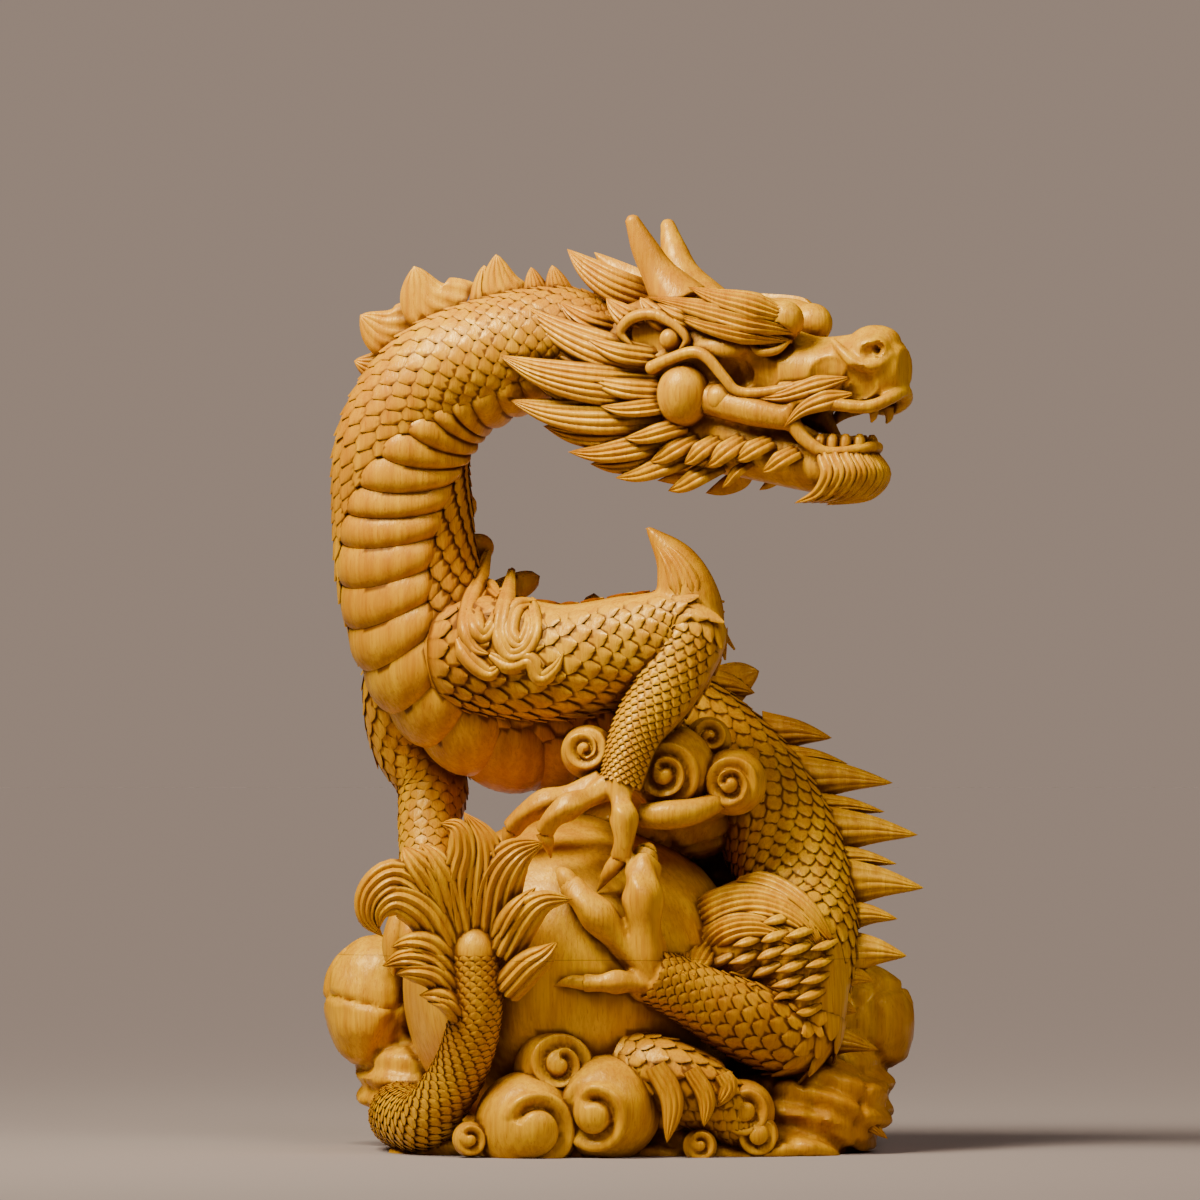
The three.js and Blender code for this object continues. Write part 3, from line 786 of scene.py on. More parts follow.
def tuft():
    bm = bmesh.new()
    rounded(bm, seen(*TUFT_HEART, TUFT_DEPTH + 1), TUFT_HEART_HALF)
    for order, (pixels, width) in enumerate(TUFT_LOCKS):
        last = len(pixels) - 1
        path = []
        for i, (across, down) in enumerate(pixels):
            depth = TUFT_DEPTH - TUFT_BULGE * math.sin(math.pi * 0.8 * i / last) - 0.2 * order
            path.append(seen(across, down, depth))
        grooves = max(round(width / TUFT_STRAND), 2)
        breadth = width * TUFT_FULLNESS
        lock(bm, path, FRONT, breadth, TUFT_THICK, grooves, 26, 1.0, plume_shape, both=True)
    return finish_piece("tail_tuft", bm)


# Head: forward, up and near are its own directions

HEAD_AT = Vector((15.1, -22, 168.4))
HEAD_TURN = math.radians(27)
FORWARD = Vector((math.cos(HEAD_TURN), -math.sin(HEAD_TURN), 0))
UPWARD = Vector((0, 0, 1))
NEARWARD = FORWARD.cross(UPWARD)
HEAD_AXES = Matrix((FORWARD, UPWARD, NEARWARD)).transposed()

# Sections as (forward, up, half height, half width)
SKULL = [
    (-24, 3, 9, 9),
    (-8, 3, 13, 11),
    (8, 2.5, 12, 11),
    (17, 0.2, 9.2, 9.8),
    (25, -2.0, 7.6, 8.4),
    (33, -2.6, 7.2, 7.2),
    (41, -2.4, 7.8, 6.8),
    (47, -1.8, 7.0, 5.8),
    (50.6, -1.6, 4.4, 4),
]
UPPER_LIP = [
    (25, -7.4, 8.8),
    (30, -8.4, 8.4),
    (38, -9.2, 7.6),
    (44.6, -9.8, 6.2),
    (49, -8, 4),
    (50.6, -6, 0),
]
NOSTRIL_WING = [(36, 4.6, 5.2), (39.6, 1.6, 7), (43, -1, 7.2), (47, -1, 5.8), (49.4, 1.6, 3.6)]
JAW = [
    (0, -13, 9, 9.6),
    (14, -16.5, 8, 9.2),
    (26, -19.8, 7.2, 8.4),
    (34, -23, 5.2, 7.4),
    (40, -23, 4.6, 5.8),
    (43, -22.6, 2.8, 3.2),
]
LOWER_LIP = [
    (27, -9.7, 8.6),
    (28.4, -13, 8.5),
    (31, -16.6, 8.1),
    (35.4, -19.3, 7.3),
    (40, -19, 5.2),
    (43, -18.2, 2.4),
    (43.5, -18, 0),
]
WHISKER = [
    (-2.7, -0.9, 12.8),
    (0.6, 0.4, 13.2),
    (6.6, 2.2, 13.2),
    (10.2, 1.1, 13),
    (13.9, -3.2, 12.2),
    (16.5, -6.1, 11.4),
    (20.9, -6.6, 10.4),
    (26.4, -5.8, 9.2),
    (31, -4.4, 8.2),
]
EAR_RIM = [
    (-7.6, 3.6, 12.6),
    (-10.2, 6.8, 13),
    (-7.6, 9.8, 12.8),
    (-2.6, 10.5, 12.6),
    (2, 8.4, 12.2),
    (4.9, 5.2, 11.8),
    (3.4, 2.8, 11.8),
]
HORN = [(0.5, 12.5, 5), (-4.6, 19.6, 6), (-7.6, 25.4, 7.2), (-9.6, 30.6, 8.4)]
# Hollows as (place, radius, depth)
DENTS = [
    ((14.5, -2.6, 9.6), 4.2, 3.2),
    ((45.2, 1.9, 6.6), 1.7, 2.0),
    ((46.8, 2.5, 6.0), 1.6, 2.0),
    ((36, -3.4, 7.6), 4.6, 1.5),
    ((42.6, -4.8, 7), 4.2, 1.6),
    ((20, -2, 9.4), 5, 1.8),
    ((24.5, 4.6, 8.6), 4.4, 2.6),
    ((-3, 7, 12), 5, 2.4),
]

# Hair as (root pixel, tip pixel, distance near at root and at tip, width)
HAIR = [
    ((640, 372), (540, 338), 8.5, 10.5, 9),
    ((650, 398), (530, 378), 8.5, 12.5, 9),
    ((660, 425), (543, 426), 8, 9.5, 9),
    ((680, 447), (590, 464), 7.5, 8.5, 7),
    ((655, 364), (521, 305), 10.5, 12.5, 9.5),
    ((655, 387), (498, 355), 10.5, 16.5, 10),
    ((658, 412), (509, 400), 10, 12.5, 9.5),
    ((672, 437), (568, 452), 9.5, 11, 6.5),
    ((694, 452), (615, 478), 9, 10, 5.6),
    ((717, 464), (668, 491), 8, 9, 5.6),
    ((652, 358), (583, 336), 12, 14, 5),
    ((664, 392), (583, 375), 12.5, 14.5, 5),
    ((668, 404), (600, 406), 12.5, 14.5, 4.4),
    ((682, 425), (624, 438), 12, 13, 4.8),
    ((614, 332), (560, 302), 9, 11, 6.4),
    ((650, 328), (606, 298), 9, 11, 6.4),
    ((676, 327), (640, 297), 9.5, 10.5, 5.8),
    ((700, 322), (657, 303), 10, 11, 5),
    ((650, 300), (567, 249), 4, 6.4, 8.6),
    ((692, 438), (650, 462), 10.5, 11.5, 5.6),
    ((714, 440), (684, 464), 10.5, 11.5, 5.2),
    ((740, 440), (705, 467), 10.2, 11, 5.6),
    ((767, 441), (735, 460), 9.8, 10.5, 5.2),
    ((794, 451), (762, 472), 9, 10, 5),
    ((748, 461), (722, 488), 8.5, 9, 3.4),
]
HAIR_FACE = (-0.15, 0.1, 1)
BEARD_STRANDS = 13
# Brow hair as pixels from the knob back to the tip, and its width
BROW_HAIR = [
    ([(800, 322), (752, 306), (716, 297), (688, 287)], 6.6),
    ([(800, 332), (746, 319), (695, 307), (646, 297)], 6.8),
    ([(792, 342), (740, 332), (700, 323), (668, 312)], 5.4),
]
BROW_NEAR = (6.6, 12, 12, 10.4)
# Moustache as pixels from the lip back to the tip, and its width
MOUSTACHE = [
    ([(848, 378), (815, 386), (782, 396), (750, 398)], 4.6),
    ([(852, 394), (824, 400), (802, 410), (783, 428)], 5),
]
MOUSTACHE_NEAR = (6.4, 8.8, 9.8, 10.6)


def on_head(forward, up, near):
    return HEAD_AT + HEAD_AXES @ Vector((forward, up, near))


def beside(across, down, near):
    """The place on the head, a distance to the near side of its middle, that is seen at a pixel."""
    way = sight(across, down)
    start = HEAD_AT + NEARWARD * near
    place = EYE + way * ((start - EYE).dot(NEARWARD) / way.dot(NEARWARD)) - HEAD_AT
    return Vector((place.dot(FORWARD), place.dot(UPWARD), near))


def loft(bm, sections, steps, sides):
    columns = [[float(section[i]) for section in sections] for i in range(4)]

    def place(share, turn):
        forward, up, high, wide = (through(column, share) for column in columns)
        angle = TAU * turn
        return on_head(forward, up + high * math.cos(angle), wide * math.sin(angle))

    closed_tube(bm, steps, sides, place)


def head_rounded(bm, at, half, side=1, wide=24, high=16):
    place = on_head(at[0], at[1], at[2] * side)
    return rounded(bm, place, half, wide, high, HEAD_AXES)


def head_rope(bm, points, radii, side=1, steps=24, sides=10):
    rope(bm, [on_head(f, u, r * side) for f, u, r in points], radii, steps, sides)


def head_lock(bm, points, face, width, thick, side=1, grooves=4, steps=14, depth=0.45, shape=leaf_shape):
    path = [on_head(f, u, r * side) for f, u, r in points]
    way = HEAD_AXES @ Vector((face[0], face[1], face[2] * side))
    lock(bm, path, way, width, thick, grooves, steps, depth, shape)


def head_core():
    bm = bmesh.new()
    loft(bm, SKULL, 60, 40)
    loft(bm, JAW, 40, 32)
    head_rope(bm, [(18, 6, 0), (30, 3, 0), (42, 3.4, 0)], (4, 2.8, 3))
    head_rounded(bm, (43.6, 4.2, 0), (5.8, 3.6, 4.4))
    for side in SIDES:
        head_rope(bm, HORN, (6.6, 3.9, 2.9, 1.7), side, 30, 16)
        head_rounded(bm, HORN[-1], (1.7, 1.7, 1.7), side)
        head_rounded(bm, (17, 10.6, 8.2), (9.4, 4, 3.6), side)
        head_rounded(bm, (-2.8, 6.6, 10), (7.2, 4.4, 2.8), side)
        head_rounded(bm, (25.4, 8.8, 7), (4.6, 4.4, 3.8), side)
        head_rounded(bm, (11.5, 3.0, 9), (7.4, 3.2, 3.6), side)
        head_rounded(bm, (-1, 9, 8.5), (6, 5, 3.6), side)
        head_rope(bm, [(8, -7.4, 9.4), (19.6, -10.4, 9.6), (27.4, -12.2, 8.6)], (3.4, 3.3, 2.6), side)
        head_rounded(bm, (44.4, 2, 4), (4.6, 3.6, 3.2), side)
        head_rope(bm, NOSTRIL_WING, (0.8, 1.1, 1.3, 1.2, 0.8), side)
        head_rope(bm, UPPER_LIP, (0.8, 1.4, 1.5, 1.5, 1.4, 1.3), side, 40)
        head_rope(bm, LOWER_LIP, (2.2, 1.9, 1.6, 1.4, 1.3, 1.3, 1.3), side, 40)
    skin = fused(bm, 0.55, 3)
    for at, radius, depth in DENTS:
        for side in SIDES:
            middle = on_head(at[0], at[1], at[2] * side)
            for vert in skin.vertices:
                share = 1 - (vert.co - middle).length_squared / radius**2
                if share > 0:
                    vert.co -= NEARWARD * (side * depth * share**0.7)
    return skin


# Course of the rim below the eye and its radii
LOWER_LID = [(18.6, 4.4, 9.4), (21, 2.2, 9.8), (24.6, 2.4, 8.8), (27, 4.6, 7)]
LOWER_LID_RADII = (0.4, 0.9, 0.9, 0.4)


def face(bm):
    """The parts of the face with sharp borders: eyes, cheeks, whiskers, ears, teeth and brow hair."""
    head_rounded(bm, (30, -17, 0), (11, 2, 4.4))
    for side in SIDES:
        head_rounded(bm, (22.6, 4.6, 6.6), (2.9, 2.9, 2.9), side)
        head_rope(bm, LOWER_LID, LOWER_LID_RADII, side)
        head_rounded(bm, (3.6, -6.7, 10.4), (5.9, 6.9, 5.8), side, 36, 24)
        head_rounded(bm, (12, -7.6, 10.2), (3.4, 3.2, 3), side)
        head_rope(bm, WHISKER, (1.6, 1.4, 1.3, 1.3, 1.2, 1.2, 1.2, 1.1, 0.6), side, 60)
        head_rounded(bm, WHISKER[0], (1.6, 1.6, 1.6), side)
        head_lock(bm, [(25, -5.4, 8.6), (29, -6, 9), (26.6, -8.8, 9.2)], (0, 0, 1), 3.4, 1.6, side, 2)
        head_rope(bm, EAR_RIM, (0.5, 1.1, 1.3, 1.3, 1.2, 1.0, 0.5), side, 40)
        head_rounded(bm, (1, 5.2, 11.6), (2.4, 2.4, 2.4), side)
        for k in range(5):
            forward = 31 + 2.6 * k
            width = 6.6 - 0.2 * k * k
            tooth = [(forward, -18.8, width), (forward, -16.6, width - 0.3), (forward, -15.4, width - 0.5)]
            head_rope(bm, tooth, (1.35, 1.25, 0.6), side, 8, 8)
        fang = [(45, -9.4, 3.8), (45, -11.6, 3.9), (44.4, -13, 3.7)]
        head_rope(bm, fang, (1.2, 0.9, 0.2), side, 10, 8)
        for pixels, width in BROW_HAIR:
            path = [beside(across, down, near) for (across, down), near in zip(pixels, BROW_NEAR)]
            head_lock(bm, path, (0.1, 0.4, 1), width, 4.4, side, 5, 30, 0.6, spindle_shape)
        for pixels, width in MOUSTACHE:
            path = [beside(across, down, near) for (across, down), near in zip(pixels, MOUSTACHE_NEAR)]
            head_lock(bm, path, (0, 0.1, 1), width, 2.6, side, 3, 24, 0.5, spindle_shape)


# Width of one strand of the hair
HAIR_STRAND = 1.75


def hair(bm):
    for root, tip, near_root, near_tip, width in HAIR:
        start = beside(*root, near_root)
        end = beside(*tip, near_tip)
        reach = end - start
        sag = Vector((-reach.y, reach.x, 0)) * 0.05
        out = Vector((0, 0, 1.6))
        path = [start - out, start + reach * 0.35 + sag + out, start + reach * 0.7 + sag + out * 0.6, end]
        thick = 0.42 * width + 0.6
        grooves = max(round(width / HAIR_STRAND), 2)
        for side in SIDES:
            head_lock(bm, path, HAIR_FACE, 1.08 * width, thick, side, grooves, 20, 0.6, plume_shape)


def beard(bm):
    for i in range(BEARD_STRANDS):
        angle = 2.7 * (i / (BEARD_STRANDS - 1) - 0.5)
        front = math.cos(angle)
        out = math.sin(angle)
        path = [
            (33 + 9.6 * front, -20, 7.8 * out),
            (34.6 + 10.4 * front, -24, 9.2 * out),
            (32 + 9.4 * front, -28, 8.8 * out),
            (26.5 + 8 * front, -30, 8 * out),
        ]
        head_lock(bm, path, (front, -0.1, out), 4.4, 3.6, 1, 2, 16, 0.7, plume_shape)


def head():
    skin = head_core()
    bm = bmesh.new()
    face(bm)
    bmesh.ops.recalc_face_normals(bm, faces=bm.faces)
    bm.from_mesh(skin)
    return finish_piece("head", bm, recalculate=False)


def mane():
    bm = bmesh.new()
    hair(bm)
    beard(bm)
    return finish_piece("mane", bm)


# Ball, rocks and clouds

# Rocks as (place, half sizes)
ROCKS = [
    ((-53, 20, 31), (11.5, 12, 15)),
    ((-44, 20, 14), (13, 15, 12)),
    ((52, 16, 27), (12.5, 13, 12.5)),
    ((40, -11, 9), (18, 17, 12)),
    ((46, 11, 12), (13, 16, 13)),
    ((18, 18, 34), (20, 17, 38)),
    ((12, -30, 15), (11, 9, 9)),
    ((13, -9, 79), (13, 12, 9.5)),
    ((9, 2, 70), (18, 14, 8)),
]
BASE_AT = Vector((2, 2, 0))
BASE_HALF = (49, 36, 12)
CRACK_SIZE = 17


def rock_face(at):
    """How far the rock stands out at a point: split blocks, with level flow lines near the base."""
    gaps = noise.voronoi(at / CRACK_SIZE)[0]
    block = min((gaps[1] - gaps[0]) / 0.12, 1.0) - 0.8
    low = min(max((22 - at.z) / 8, 0.0), 1.0)
    flow = math.sin(at.z * 1.1 + 0.2 * at.x + 5 * noise.noise(at * 0.045))
    rough = noise.fractal(at * 0.08, 0.9, 2.1, 3)
    return 1.1 * block + 0.9 * low * flow + 0.7 * rough


def bank():
    bm = bmesh.new()
    for vert in bmesh.ops.create_uvsphere(bm, u_segments=64, v_segments=32, radius=1)["verts"]:
        angle = math.atan2(vert.co.y, vert.co.x)
        squarer = (math.cos(angle) ** 4 + math.sin(angle) ** 4) ** -0.25
        uneven = squarer * (1 + 0.05 * math.cos(7 * angle))
        wide = vert.co.x * uneven * BASE_HALF[0]
        deep = vert.co.y * uneven * BASE_HALF[1]
        vert.co = BASE_AT + Vector((wide, deep, vert.co.z * BASE_HALF[2]))
    for at, half in ROCKS:
        rounded(bm, at, half, 48, 28)
    skin = fused(bm, 0.9, 4)
    moves = [vert.normal * rock_face(vert.co) for vert in skin.vertices]
    for vert, move in zip(skin.vertices, moves):
        vert.co += move
    bm = bmesh.new()
    rounded(bm, BALL_AT, (BALL_RADIUS,) * 3, 128, 72)
    bm.from_mesh(skin)
    sawn_flat(bm)
    return finish_piece("bank", bm)


def sawn_flat(bm):
    """Cuts the carving off level at the table and closes the cut."""
    geometry = bm.verts[:] + bm.edges[:] + bm.faces[:]
    down = (0, 0, -1)
    cut = bmesh.ops.bisect_plane(bm, geom=geometry, plane_co=(0, 0, 0), plane_no=down, clear_outer=True)
    edges = [part for part in cut["geom_cut"] if isinstance(part, bmesh.types.BMEdge)]
    bmesh.ops.holes_fill(bm, edges=edges, sides=0)


Cloud = namedtuple("Cloud", "at radius eye eye_radius growth start turns sense")

# Clouds: middle as (pixel, pixel, depth), radius, offset of the scroll's eye as shares of the radius,
# eye radius, growth of the groove in a turn, where it starts, how many times it winds and which way
CLOUDS = [
    Cloud((672, 770, -20), 9.6, (-0.2, -0.1), 1.7, 1.5, 2.4, 1.9, -1),
    Cloud((733, 782, -21), 7.2, (-0.12, -0.05), 1.4, 1.4, 3.4, 1.8, -1),
    Cloud((588, 752, -22), 5.8, (-0.15, 0.15), 1.2, 1.3, 4.4, 1.7, 1),
    Cloud((708, 740, -17), 5, (0.1, 0.2), 1.2, 1.2, 4, 1, 1),
    Cloud((640, 742, -14), 6, (0.1, 0.1), 1.4, 1.2, 4, 1.2, 1),
    Cloud((556, 1068, -31), 9, (0.1, 0.12), 2, 1.3, 1.6, 1.8, -1),
    Cloud((528, 1124, -34), 11.4, (0.18, -0.1), 5.0, 0.62, 2.8, 0.85, -1),
    Cloud((608, 1108, -34), 11.4, (-0.3, -0.12), 3.6, 0.8, 2.2, 1.1, -1),
    Cloud((470, 1139, -38), 3.8, (0.05, 0), 1.5, 0.7, 2.4, 0.9, -1),
    Cloud((742, 1112, -30), 7, (0.1, 0.1), 2.4, 0.8, 2, 1, -1),
    Cloud((757, 1135, -32), 4.6, (0, 0), 2.2, 0.7, 2, 0.9, 1),
    Cloud((700, 1146, -36), 3.6, (0, 0.1), 1.4, 0.7, 2.4, 0.9, -1),
]
# Clouds on the far side as (place, radius, way the groove winds)
FAR_CLOUDS = [
    ((-8, 33, 22), 13, 1),
    ((-24, 27, 32), 10, -1),
    ((8, 36, 10), 10, -1),
]


def scroll_cloud(bm, centre, radius, facing, eye_radius, growth, start, turns, sense):
    """A dome with a groove, edged by a rope, that winds out from the eye which faces the given way."""
    right = facing.cross(UPWARD).normalized() * -1
    above = right.cross(facing) * -1
    width = 0.06 * radius + 0.3
    depth = 0.09 * radius + 0.9
    rope_lift = 0.06 * radius + 0.4

    def relief(distance, angle):
        first = (sense * (angle - start) / TAU) % 1
        lift = 0.0
        for k in range(2):
            wound = first + k
            if wound > turns:
                break
            fade = min(1.0, (turns - wound) / 0.35, 0.25 + wound / 0.12)
            off = distance - eye_radius * (1 + growth * wound)
            lift -= depth * fade * math.exp(-((off / width) ** 2))
            lift += rope_lift * fade * math.exp(-(((off - 2.1 * width) / (1.2 * width)) ** 2))
        return lift + 0.18 * eye_radius * max(1 - (distance / eye_radius) ** 2, 0)

    def place(share, around):
        slope = share * 0.72 * math.pi
        angle = TAU * around
        around_eye = right * math.cos(angle) + above * math.sin(angle)
        way = facing * math.cos(slope) + around_eye * math.sin(slope)
        return centre + way * (radius + relief(radius * slope, angle))

    closed_tube(bm, 52, 92, place)


# The bank's drapery of leaves as pixels from root to tip, depth and width
LAPPETS = [
    ([(655, 1066), (672, 1100), (667, 1143)], -42, 6.4),
    ([(690, 1070), (706, 1098), (704, 1127)], -41, 5),
    ([(722, 1074), (728, 1088), (716, 1108)], -39, 5),
    ([(812, 1096), (850, 1110), (888, 1139)], -20, 6),
    ([(800, 1080), (840, 1075), (866, 1084)], -16, 6),
]
DRAPE = Course([
    ((0, -30, 20), 7, FRONT),
    ((9, -33, 17), 8, FRONT),
    ((19, -32, 12), 7, FRONT),
    ((27, -30, 6), 5, FRONT),
])
# The bar below the clouds as (pixel, pixel, depth), and its radii
CLOUD_BAR = [(642, 816, -27), (668, 815, -29), (695, 811, -28), (722, 800, -24)]
CLOUD_BAR_RADII = (2.6, 3.1, 2.8, 2.0)
FAR_CLOUD_FACING = Vector((0.1, 0.98, 0.15)).normalized()


def clouds():
    bm = bmesh.new()
    for cloud in CLOUDS:
        aside, above = cloud.eye
        facing = Vector((aside, -math.sqrt(1 - aside**2 - above**2), above))
        centre = seen(*cloud.at)
        scroll_cloud(bm, centre, cloud.radius, facing, *cloud[3:])
    for at, radius, sense in FAR_CLOUDS:
        scroll_cloud(bm, Vector(at), radius, FAR_CLOUD_FACING, 0.3 * radius, 0.7, 2.4, 1.3, sense)
    rope(bm, [seen(*station) for station in CLOUD_BAR], CLOUD_BAR_RADII, 24, 20)
    for pixels, depth, width in LAPPETS:
        path = [seen(across, down, depth) for across, down in pixels]
        lock(bm, path, FRONT, width, 3.4, 4, 16, 0.5)
    sawn_flat(bm)
    tube(bm, DRAPE, 40, 24)
    bmesh.ops.recalc_face_normals(bm, faces=bm.faces)
    cover_with_scales(bm, DRAPE, 0.05, 0.9, 6, 1.5, rise=0.9)
    return finish_piece("clouds", bm, recalculate=False)


# Wood

def socket(group, name, kind, way, value=None):
    made = group.interface.new_socket(name=name, in_out=way, socket_type=kind)
    if value is not None:
        made.default_value = value
    return made


def node(tree, kind, **settings):
    made = tree.nodes.new(kind)
    for name, value in settings.items():
        setattr(made, name, value)
    return made


def feed(tree, slot, value):
    """Sets an input to a plain value, or links an output to it."""
    if isinstance(value, (int, float, tuple)):
        slot.default_value = value
    else:
        tree.links.new(value, slot)


def math_node(tree, operation, first, second=None):
    made = node(tree, "ShaderNodeMath", operation=operation)
    for slot, value in zip(made.inputs, (first, second)):
        if value is not None:
            feed(tree, slot, value)
    return made.outputs[0]


def mix_colour(tree, factor, first, second):
    made = node(tree, "ShaderNodeMix", data_type="RGBA")
    for slot, value in ((made.inputs[0], factor), (made.inputs[6], first), (made.inputs[7], second)):
        feed(tree, slot, value)
    return made.outputs[2]


def stretched(tree, vector, scale):
    mapping = node(tree, "ShaderNodeMapping")
    mapping.inputs["Scale"].default_value = scale
    tree.links.new(vector, mapping.inputs["Vector"])
    return mapping.outputs[0]


def noise_value(tree, vector, scale, detail=4.0, roughness=0.55):
    made = node(tree, "ShaderNodeTexNoise")
    made.inputs["Scale"].default_value = scale
    made.inputs["Detail"].default_value = detail
    made.inputs["Roughness"].default_value = roughness
    tree.links.new(vector, made.inputs["Vector"])
    return made.outputs["Fac"]


def contrast(tree, value, low, high):
    made = node(tree, "ShaderNodeMapRange", interpolation_type="SMOOTHSTEP")
    made.inputs["From Min"].default_value = low
    made.inputs["From Max"].default_value = high
    tree.links.new(value, made.inputs["Value"])
    return made.outputs["Result"]


def grain_group():
    """Upright wood grain: growth bands, fine streaks and pores, as shares from 0 to 1."""
    group = bpy.data.node_groups.new("upright_grain", "ShaderNodeTree")
    socket(group, "Vector", "NodeSocketVector", "INPUT")
    for name in ("Bands", "Streaks", "Pores"):
        socket(group, name, "NodeSocketFloat", "OUTPUT")
    vector = node(group, "NodeGroupInput").outputs["Vector"]
    end = node(group, "NodeGroupOutput")
    bands = node(group, "ShaderNodeTexWave", wave_type="RINGS", rings_direction="Z")
    bands.inputs["Scale"].default_value = 70
    bands.inputs["Distortion"].default_value = 6
    bands.inputs["Detail"].default_value = 3
    bands.inputs["Detail Scale"].default_value = 0.6
    group.links.new(stretched(group, vector, (1, 1, 0.12)), bands.inputs["Vector"])
    streaks = noise_value(group, stretched(group, vector, (1, 1, 0.04)), 1100, 3.0, 0.6)
    pores = noise_value(group, stretched(group, vector, (1, 1, 0.07)), 2600, 2.0, 0.5)
    group.links.new(bands.outputs["Fac"], end.inputs["Bands"])
    group.links.new(contrast(group, streaks, 0.35, 0.68), end.inputs["Streaks"])
    group.links.new(contrast(group, pores, 0.58, 0.72), end.inputs["Pores"])
    return group


# Colours of the wood, from light to dark; the darkest is the glued seam's colour and also the painted shade
# in hollows, with old wax. Then the height of the glued seam in metres
GOLD = (0.87, 0.475, 0.002, 1)
AMBER = (0.64, 0.285, 0.002, 1)
BAND = (0.38, 0.095, 0.003, 1)
STREAK = (0.33, 0.075, 0.003, 1)
# Darkest colour: the glued seam, and the painted shade in hollows, with wax
DARK_SEAM_SHADE_AND_WAX = (0.10, 0.016, 0.002, 1)
SEAM_HEIGHT = 0.0417
SEAM_HALF = 0.00009


def wood_material():
    material = bpy.data.materials.new("carved_wood")
    material.use_nodes = True
    tree = material.node_tree
    shader = tree.nodes["Principled BSDF"]
    place = node(tree, "ShaderNodeTexCoord").outputs["Object"]
    grain = node(tree, "ShaderNodeGroup", node_tree=grain_group())
    tree.links.new(place, grain.inputs["Vector"])
    # How closed in each point is: painted shade in the hollows, which also stands for wax built up there
    painted_shade_and_wax = node(tree, "ShaderNodeAttribute", attribute_name="painted_shade_and_wax").outputs["Fac"]
    cloudy = contrast(tree, noise_value(tree, place, 26, 3.0), 0.3, 0.7)
    tone = mix_colour(tree, cloudy, GOLD, AMBER)
    tone = mix_colour(tree, math_node(tree, "MULTIPLY", grain.outputs["Bands"], 0.28), tone, BAND)
    tone = mix_colour(tree, math_node(tree, "MULTIPLY", grain.outputs["Streaks"], 0.34), tone, STREAK)
    tone = mix_colour(tree, math_node(tree, "MULTIPLY", grain.outputs["Pores"], 0.4), tone, STREAK)
    height = node(tree, "ShaderNodeSeparateXYZ")
    tree.links.new(place, height.inputs[0])
    off_seam = math_node(tree, "ABSOLUTE", math_node(tree, "SUBTRACT", height.outputs["Z"], SEAM_HEIGHT))
    seam = math_node(tree, "LESS_THAN", off_seam, SEAM_HALF)
    tone = mix_colour(tree, math_node(tree, "MULTIPLY", seam, 0.45), tone, DARK_SEAM_SHADE_AND_WAX)
    # Painted shade: hollows are darkened towards the darkest colour, partly standing for old wax there;
    # their roughness rises too
    painted_shade_and_wax_share = math_node(tree, "MULTIPLY", contrast(tree, painted_shade_and_wax, 0.05, 0.55), 0.88)
    tone = mix_colour(tree, painted_shade_and_wax_share, tone, DARK_SEAM_SHADE_AND_WAX)
    tree.links.new(tone, shader.inputs["Base Color"])
    rough = math_node(tree, "MULTIPLY", grain.outputs["Streaks"], 0.14)
    rough = math_node(tree, "ADD", rough, math_node(tree, "MULTIPLY", painted_shade_and_wax_share, 0.25))
    tree.links.new(math_node(tree, "ADD", rough, 0.29), shader.inputs["Roughness"])
    shader.inputs["Specular IOR Level"].default_value = 0.5
    shader.inputs["Specular Tint"].default_value = (1, 0.74, 0.3, 1)
    bump = node(tree, "ShaderNodeBump")
    bump.inputs["Strength"].default_value = 0.18
    bump.inputs["Distance"].default_value = 0.0003
    tree.links.new(grain.outputs["Streaks"], bump.inputs["Height"])
    tree.links.new(bump.outputs["Normal"], shader.inputs["Normal"])
    return material


# Hollows: how closed in each point is, so that painted shade, together with old wax and dust, darkens it

HOLLOW_RAYS = [(0.0, 0.0, 1.0)]
HOLLOW_RAYS += [(0.62 * math.cos(a), 0.62 * math.sin(a), 0.78) for a in (0.3, 1.87, 3.44, 5.01)]
HOLLOW_RAYS += [(0.9 * math.cos(a), 0.9 * math.sin(a), 0.44) for a in (1.1, 2.67, 4.24, 5.81)]
HOLLOW_REACH = 0.007


def mark_hollows():
    tree = tree_of(pieces)
    for piece in pieces:
        marks = piece.data.attributes.new("painted_shade_and_wax", "FLOAT", "POINT")
        values = []
        for vert in piece.data.vertices:
            normal = vert.normal
            side = normal.orthogonal().normalized()
            other = normal.cross(side)
            start = vert.co + normal * 0.00025
            hits = 0.0
            for x, y, z in HOLLOW_RAYS:
                distance = tree.ray_cast(start, side * x + other * y + normal * z, HOLLOW_REACH)[3]
                if distance is not None:
                    hits += 1 - 0.6 * distance / HOLLOW_REACH
            values.append(hits / len(HOLLOW_RAYS))
        marks.data.foreach_set("value", values)


# Making the carving

trunk()
trunk_scales()
limbs()
limb_scales()
flames()
tuft()
head()
mane()
bank()
clouds()
mark_hollows()

wood = wood_material()
for piece in pieces:
    piece.data.materials.append(wood)
    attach(piece, "root")
    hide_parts("dragon_carving")

# Floor, light and camera

FLOOR_COLOUR = (0.3, 0.253, 0.258)
AMBIENT_SHARE = 0.06

# Lights as (name, way they shine, spread in degrees, strength, colour)
LIGHTS = [
    ("key", Vector((0.48, 0.42, -0.78)).normalized(), 18, 3.2, (1, 0.9, 0.7)),
    ("fill", Vector((-0.35, 0.6, -0.7)).normalized(), 30, 1.1, (1, 0.88, 0.74)),
]
# A soft lamp near the head, which lights the top of the carving more than its foot
LAMP_AT = Vector((-145, -120, 360))
LAMP_TARGET = Vector((-20, -5, 165))
LAMP_SIZE = 110
LAMP_WATTS = 1.35
LAMP_COLOUR = (1, 0.91, 0.66)


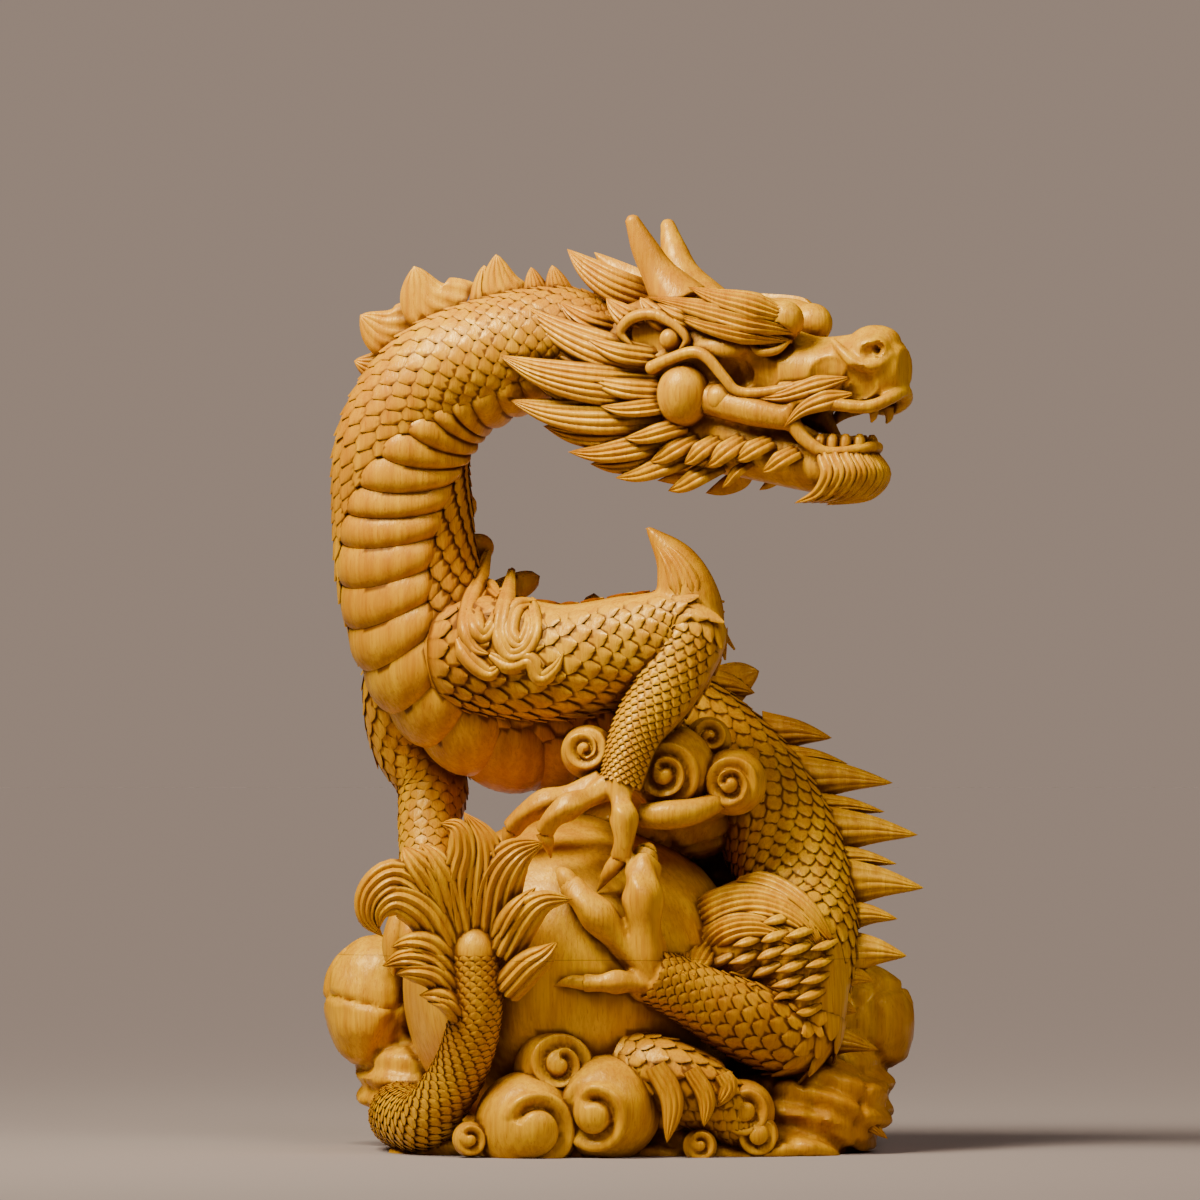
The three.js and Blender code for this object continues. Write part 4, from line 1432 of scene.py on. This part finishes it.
def plain_material(name, colour, roughness):
    material = bpy.data.materials.new(name)
    material.use_nodes = True
    shader = material.node_tree.nodes["Principled BSDF"]
    shader.inputs["Base Color"].default_value = colour
    shader.inputs["Roughness"].default_value = roughness
    shader.inputs["Specular IOR Level"].default_value = 0
    return material


def floor():
    bm = bmesh.new()
    bmesh.ops.create_grid(bm, x_segments=1, y_segments=1, size=20)
    mesh = bpy.data.meshes.new("floor")
    bm.to_mesh(mesh)
    bm.free()
    made = bpy.data.objects.new("floor", mesh)
    bpy.context.collection.objects.link(made)
    mesh.materials.append(plain_material("pale_floor", (*FLOOR_COLOUR, 1), 0.9))


def soft_sun(name, towards, spread, strength, colour):
    light = bpy.data.lights.new(name, "SUN")
    light.angle = math.radians(spread)
    light.energy = strength
    light.color = colour
    made = bpy.data.objects.new(name, light)
    bpy.context.collection.objects.link(made)
    made.rotation_euler = towards.to_track_quat("-Z", "Y").to_euler()


def soft_lamp():
    light = bpy.data.lights.new("lamp", "AREA")
    light.shape = "DISK"
    light.size = LAMP_SIZE * MM
    light.energy = LAMP_WATTS
    light.color = LAMP_COLOUR
    made = bpy.data.objects.new("lamp", light)
    bpy.context.collection.objects.link(made)
    made.location = LAMP_AT * MM
    made.rotation_euler = (LAMP_TARGET - LAMP_AT).to_track_quat("-Z", "Y").to_euler()
    made.visible_camera = False


def floor_glow():
    """The even brightness of the lit floor. The backdrop repeats it, so no edge shows between them."""
    glow = []
    for channel, share in enumerate(FLOOR_COLOUR):
        falling = sum(-towards.z * strength * colour[channel] for _, towards, _, strength, colour in LIGHTS)
        glow.append(share * falling / math.pi / (1 - share * AMBIENT_SHARE))
    return (*glow, 1)


def backdrop():
    """A plain studio: the camera sees an even backdrop, and the object gets a dimmer light from it."""
    world = bpy.data.worlds.new("studio")
    bpy.context.scene.world = world
    world.use_nodes = True
    tree = world.node_tree
    shader = tree.nodes["Background"]
    shader.inputs["Color"].default_value = floor_glow()
    seen_directly = node(tree, "ShaderNodeLightPath").outputs["Is Camera Ray"]
    extra = math_node(tree, "MULTIPLY", seen_directly, 1 - AMBIENT_SHARE)
    tree.links.new(math_node(tree, "ADD", extra, AMBIENT_SHARE), shader.inputs["Strength"])


def camera():
    data = bpy.data.cameras.new("camera")
    made = bpy.data.objects.new("camera", data)
    bpy.context.collection.objects.link(made)
    made.location = EYE * MM
    made.rotation_euler = (-BACKWARD).to_track_quat("-Z", "Y").to_euler()
    data.lens = data.sensor_width * PIXEL_SCALE / PHOTO_PIXELS
    data.clip_end = 50
    bpy.context.scene.camera = made


floor()
for light in LIGHTS:
    soft_sun(*light)
soft_lamp()
backdrop()
camera()
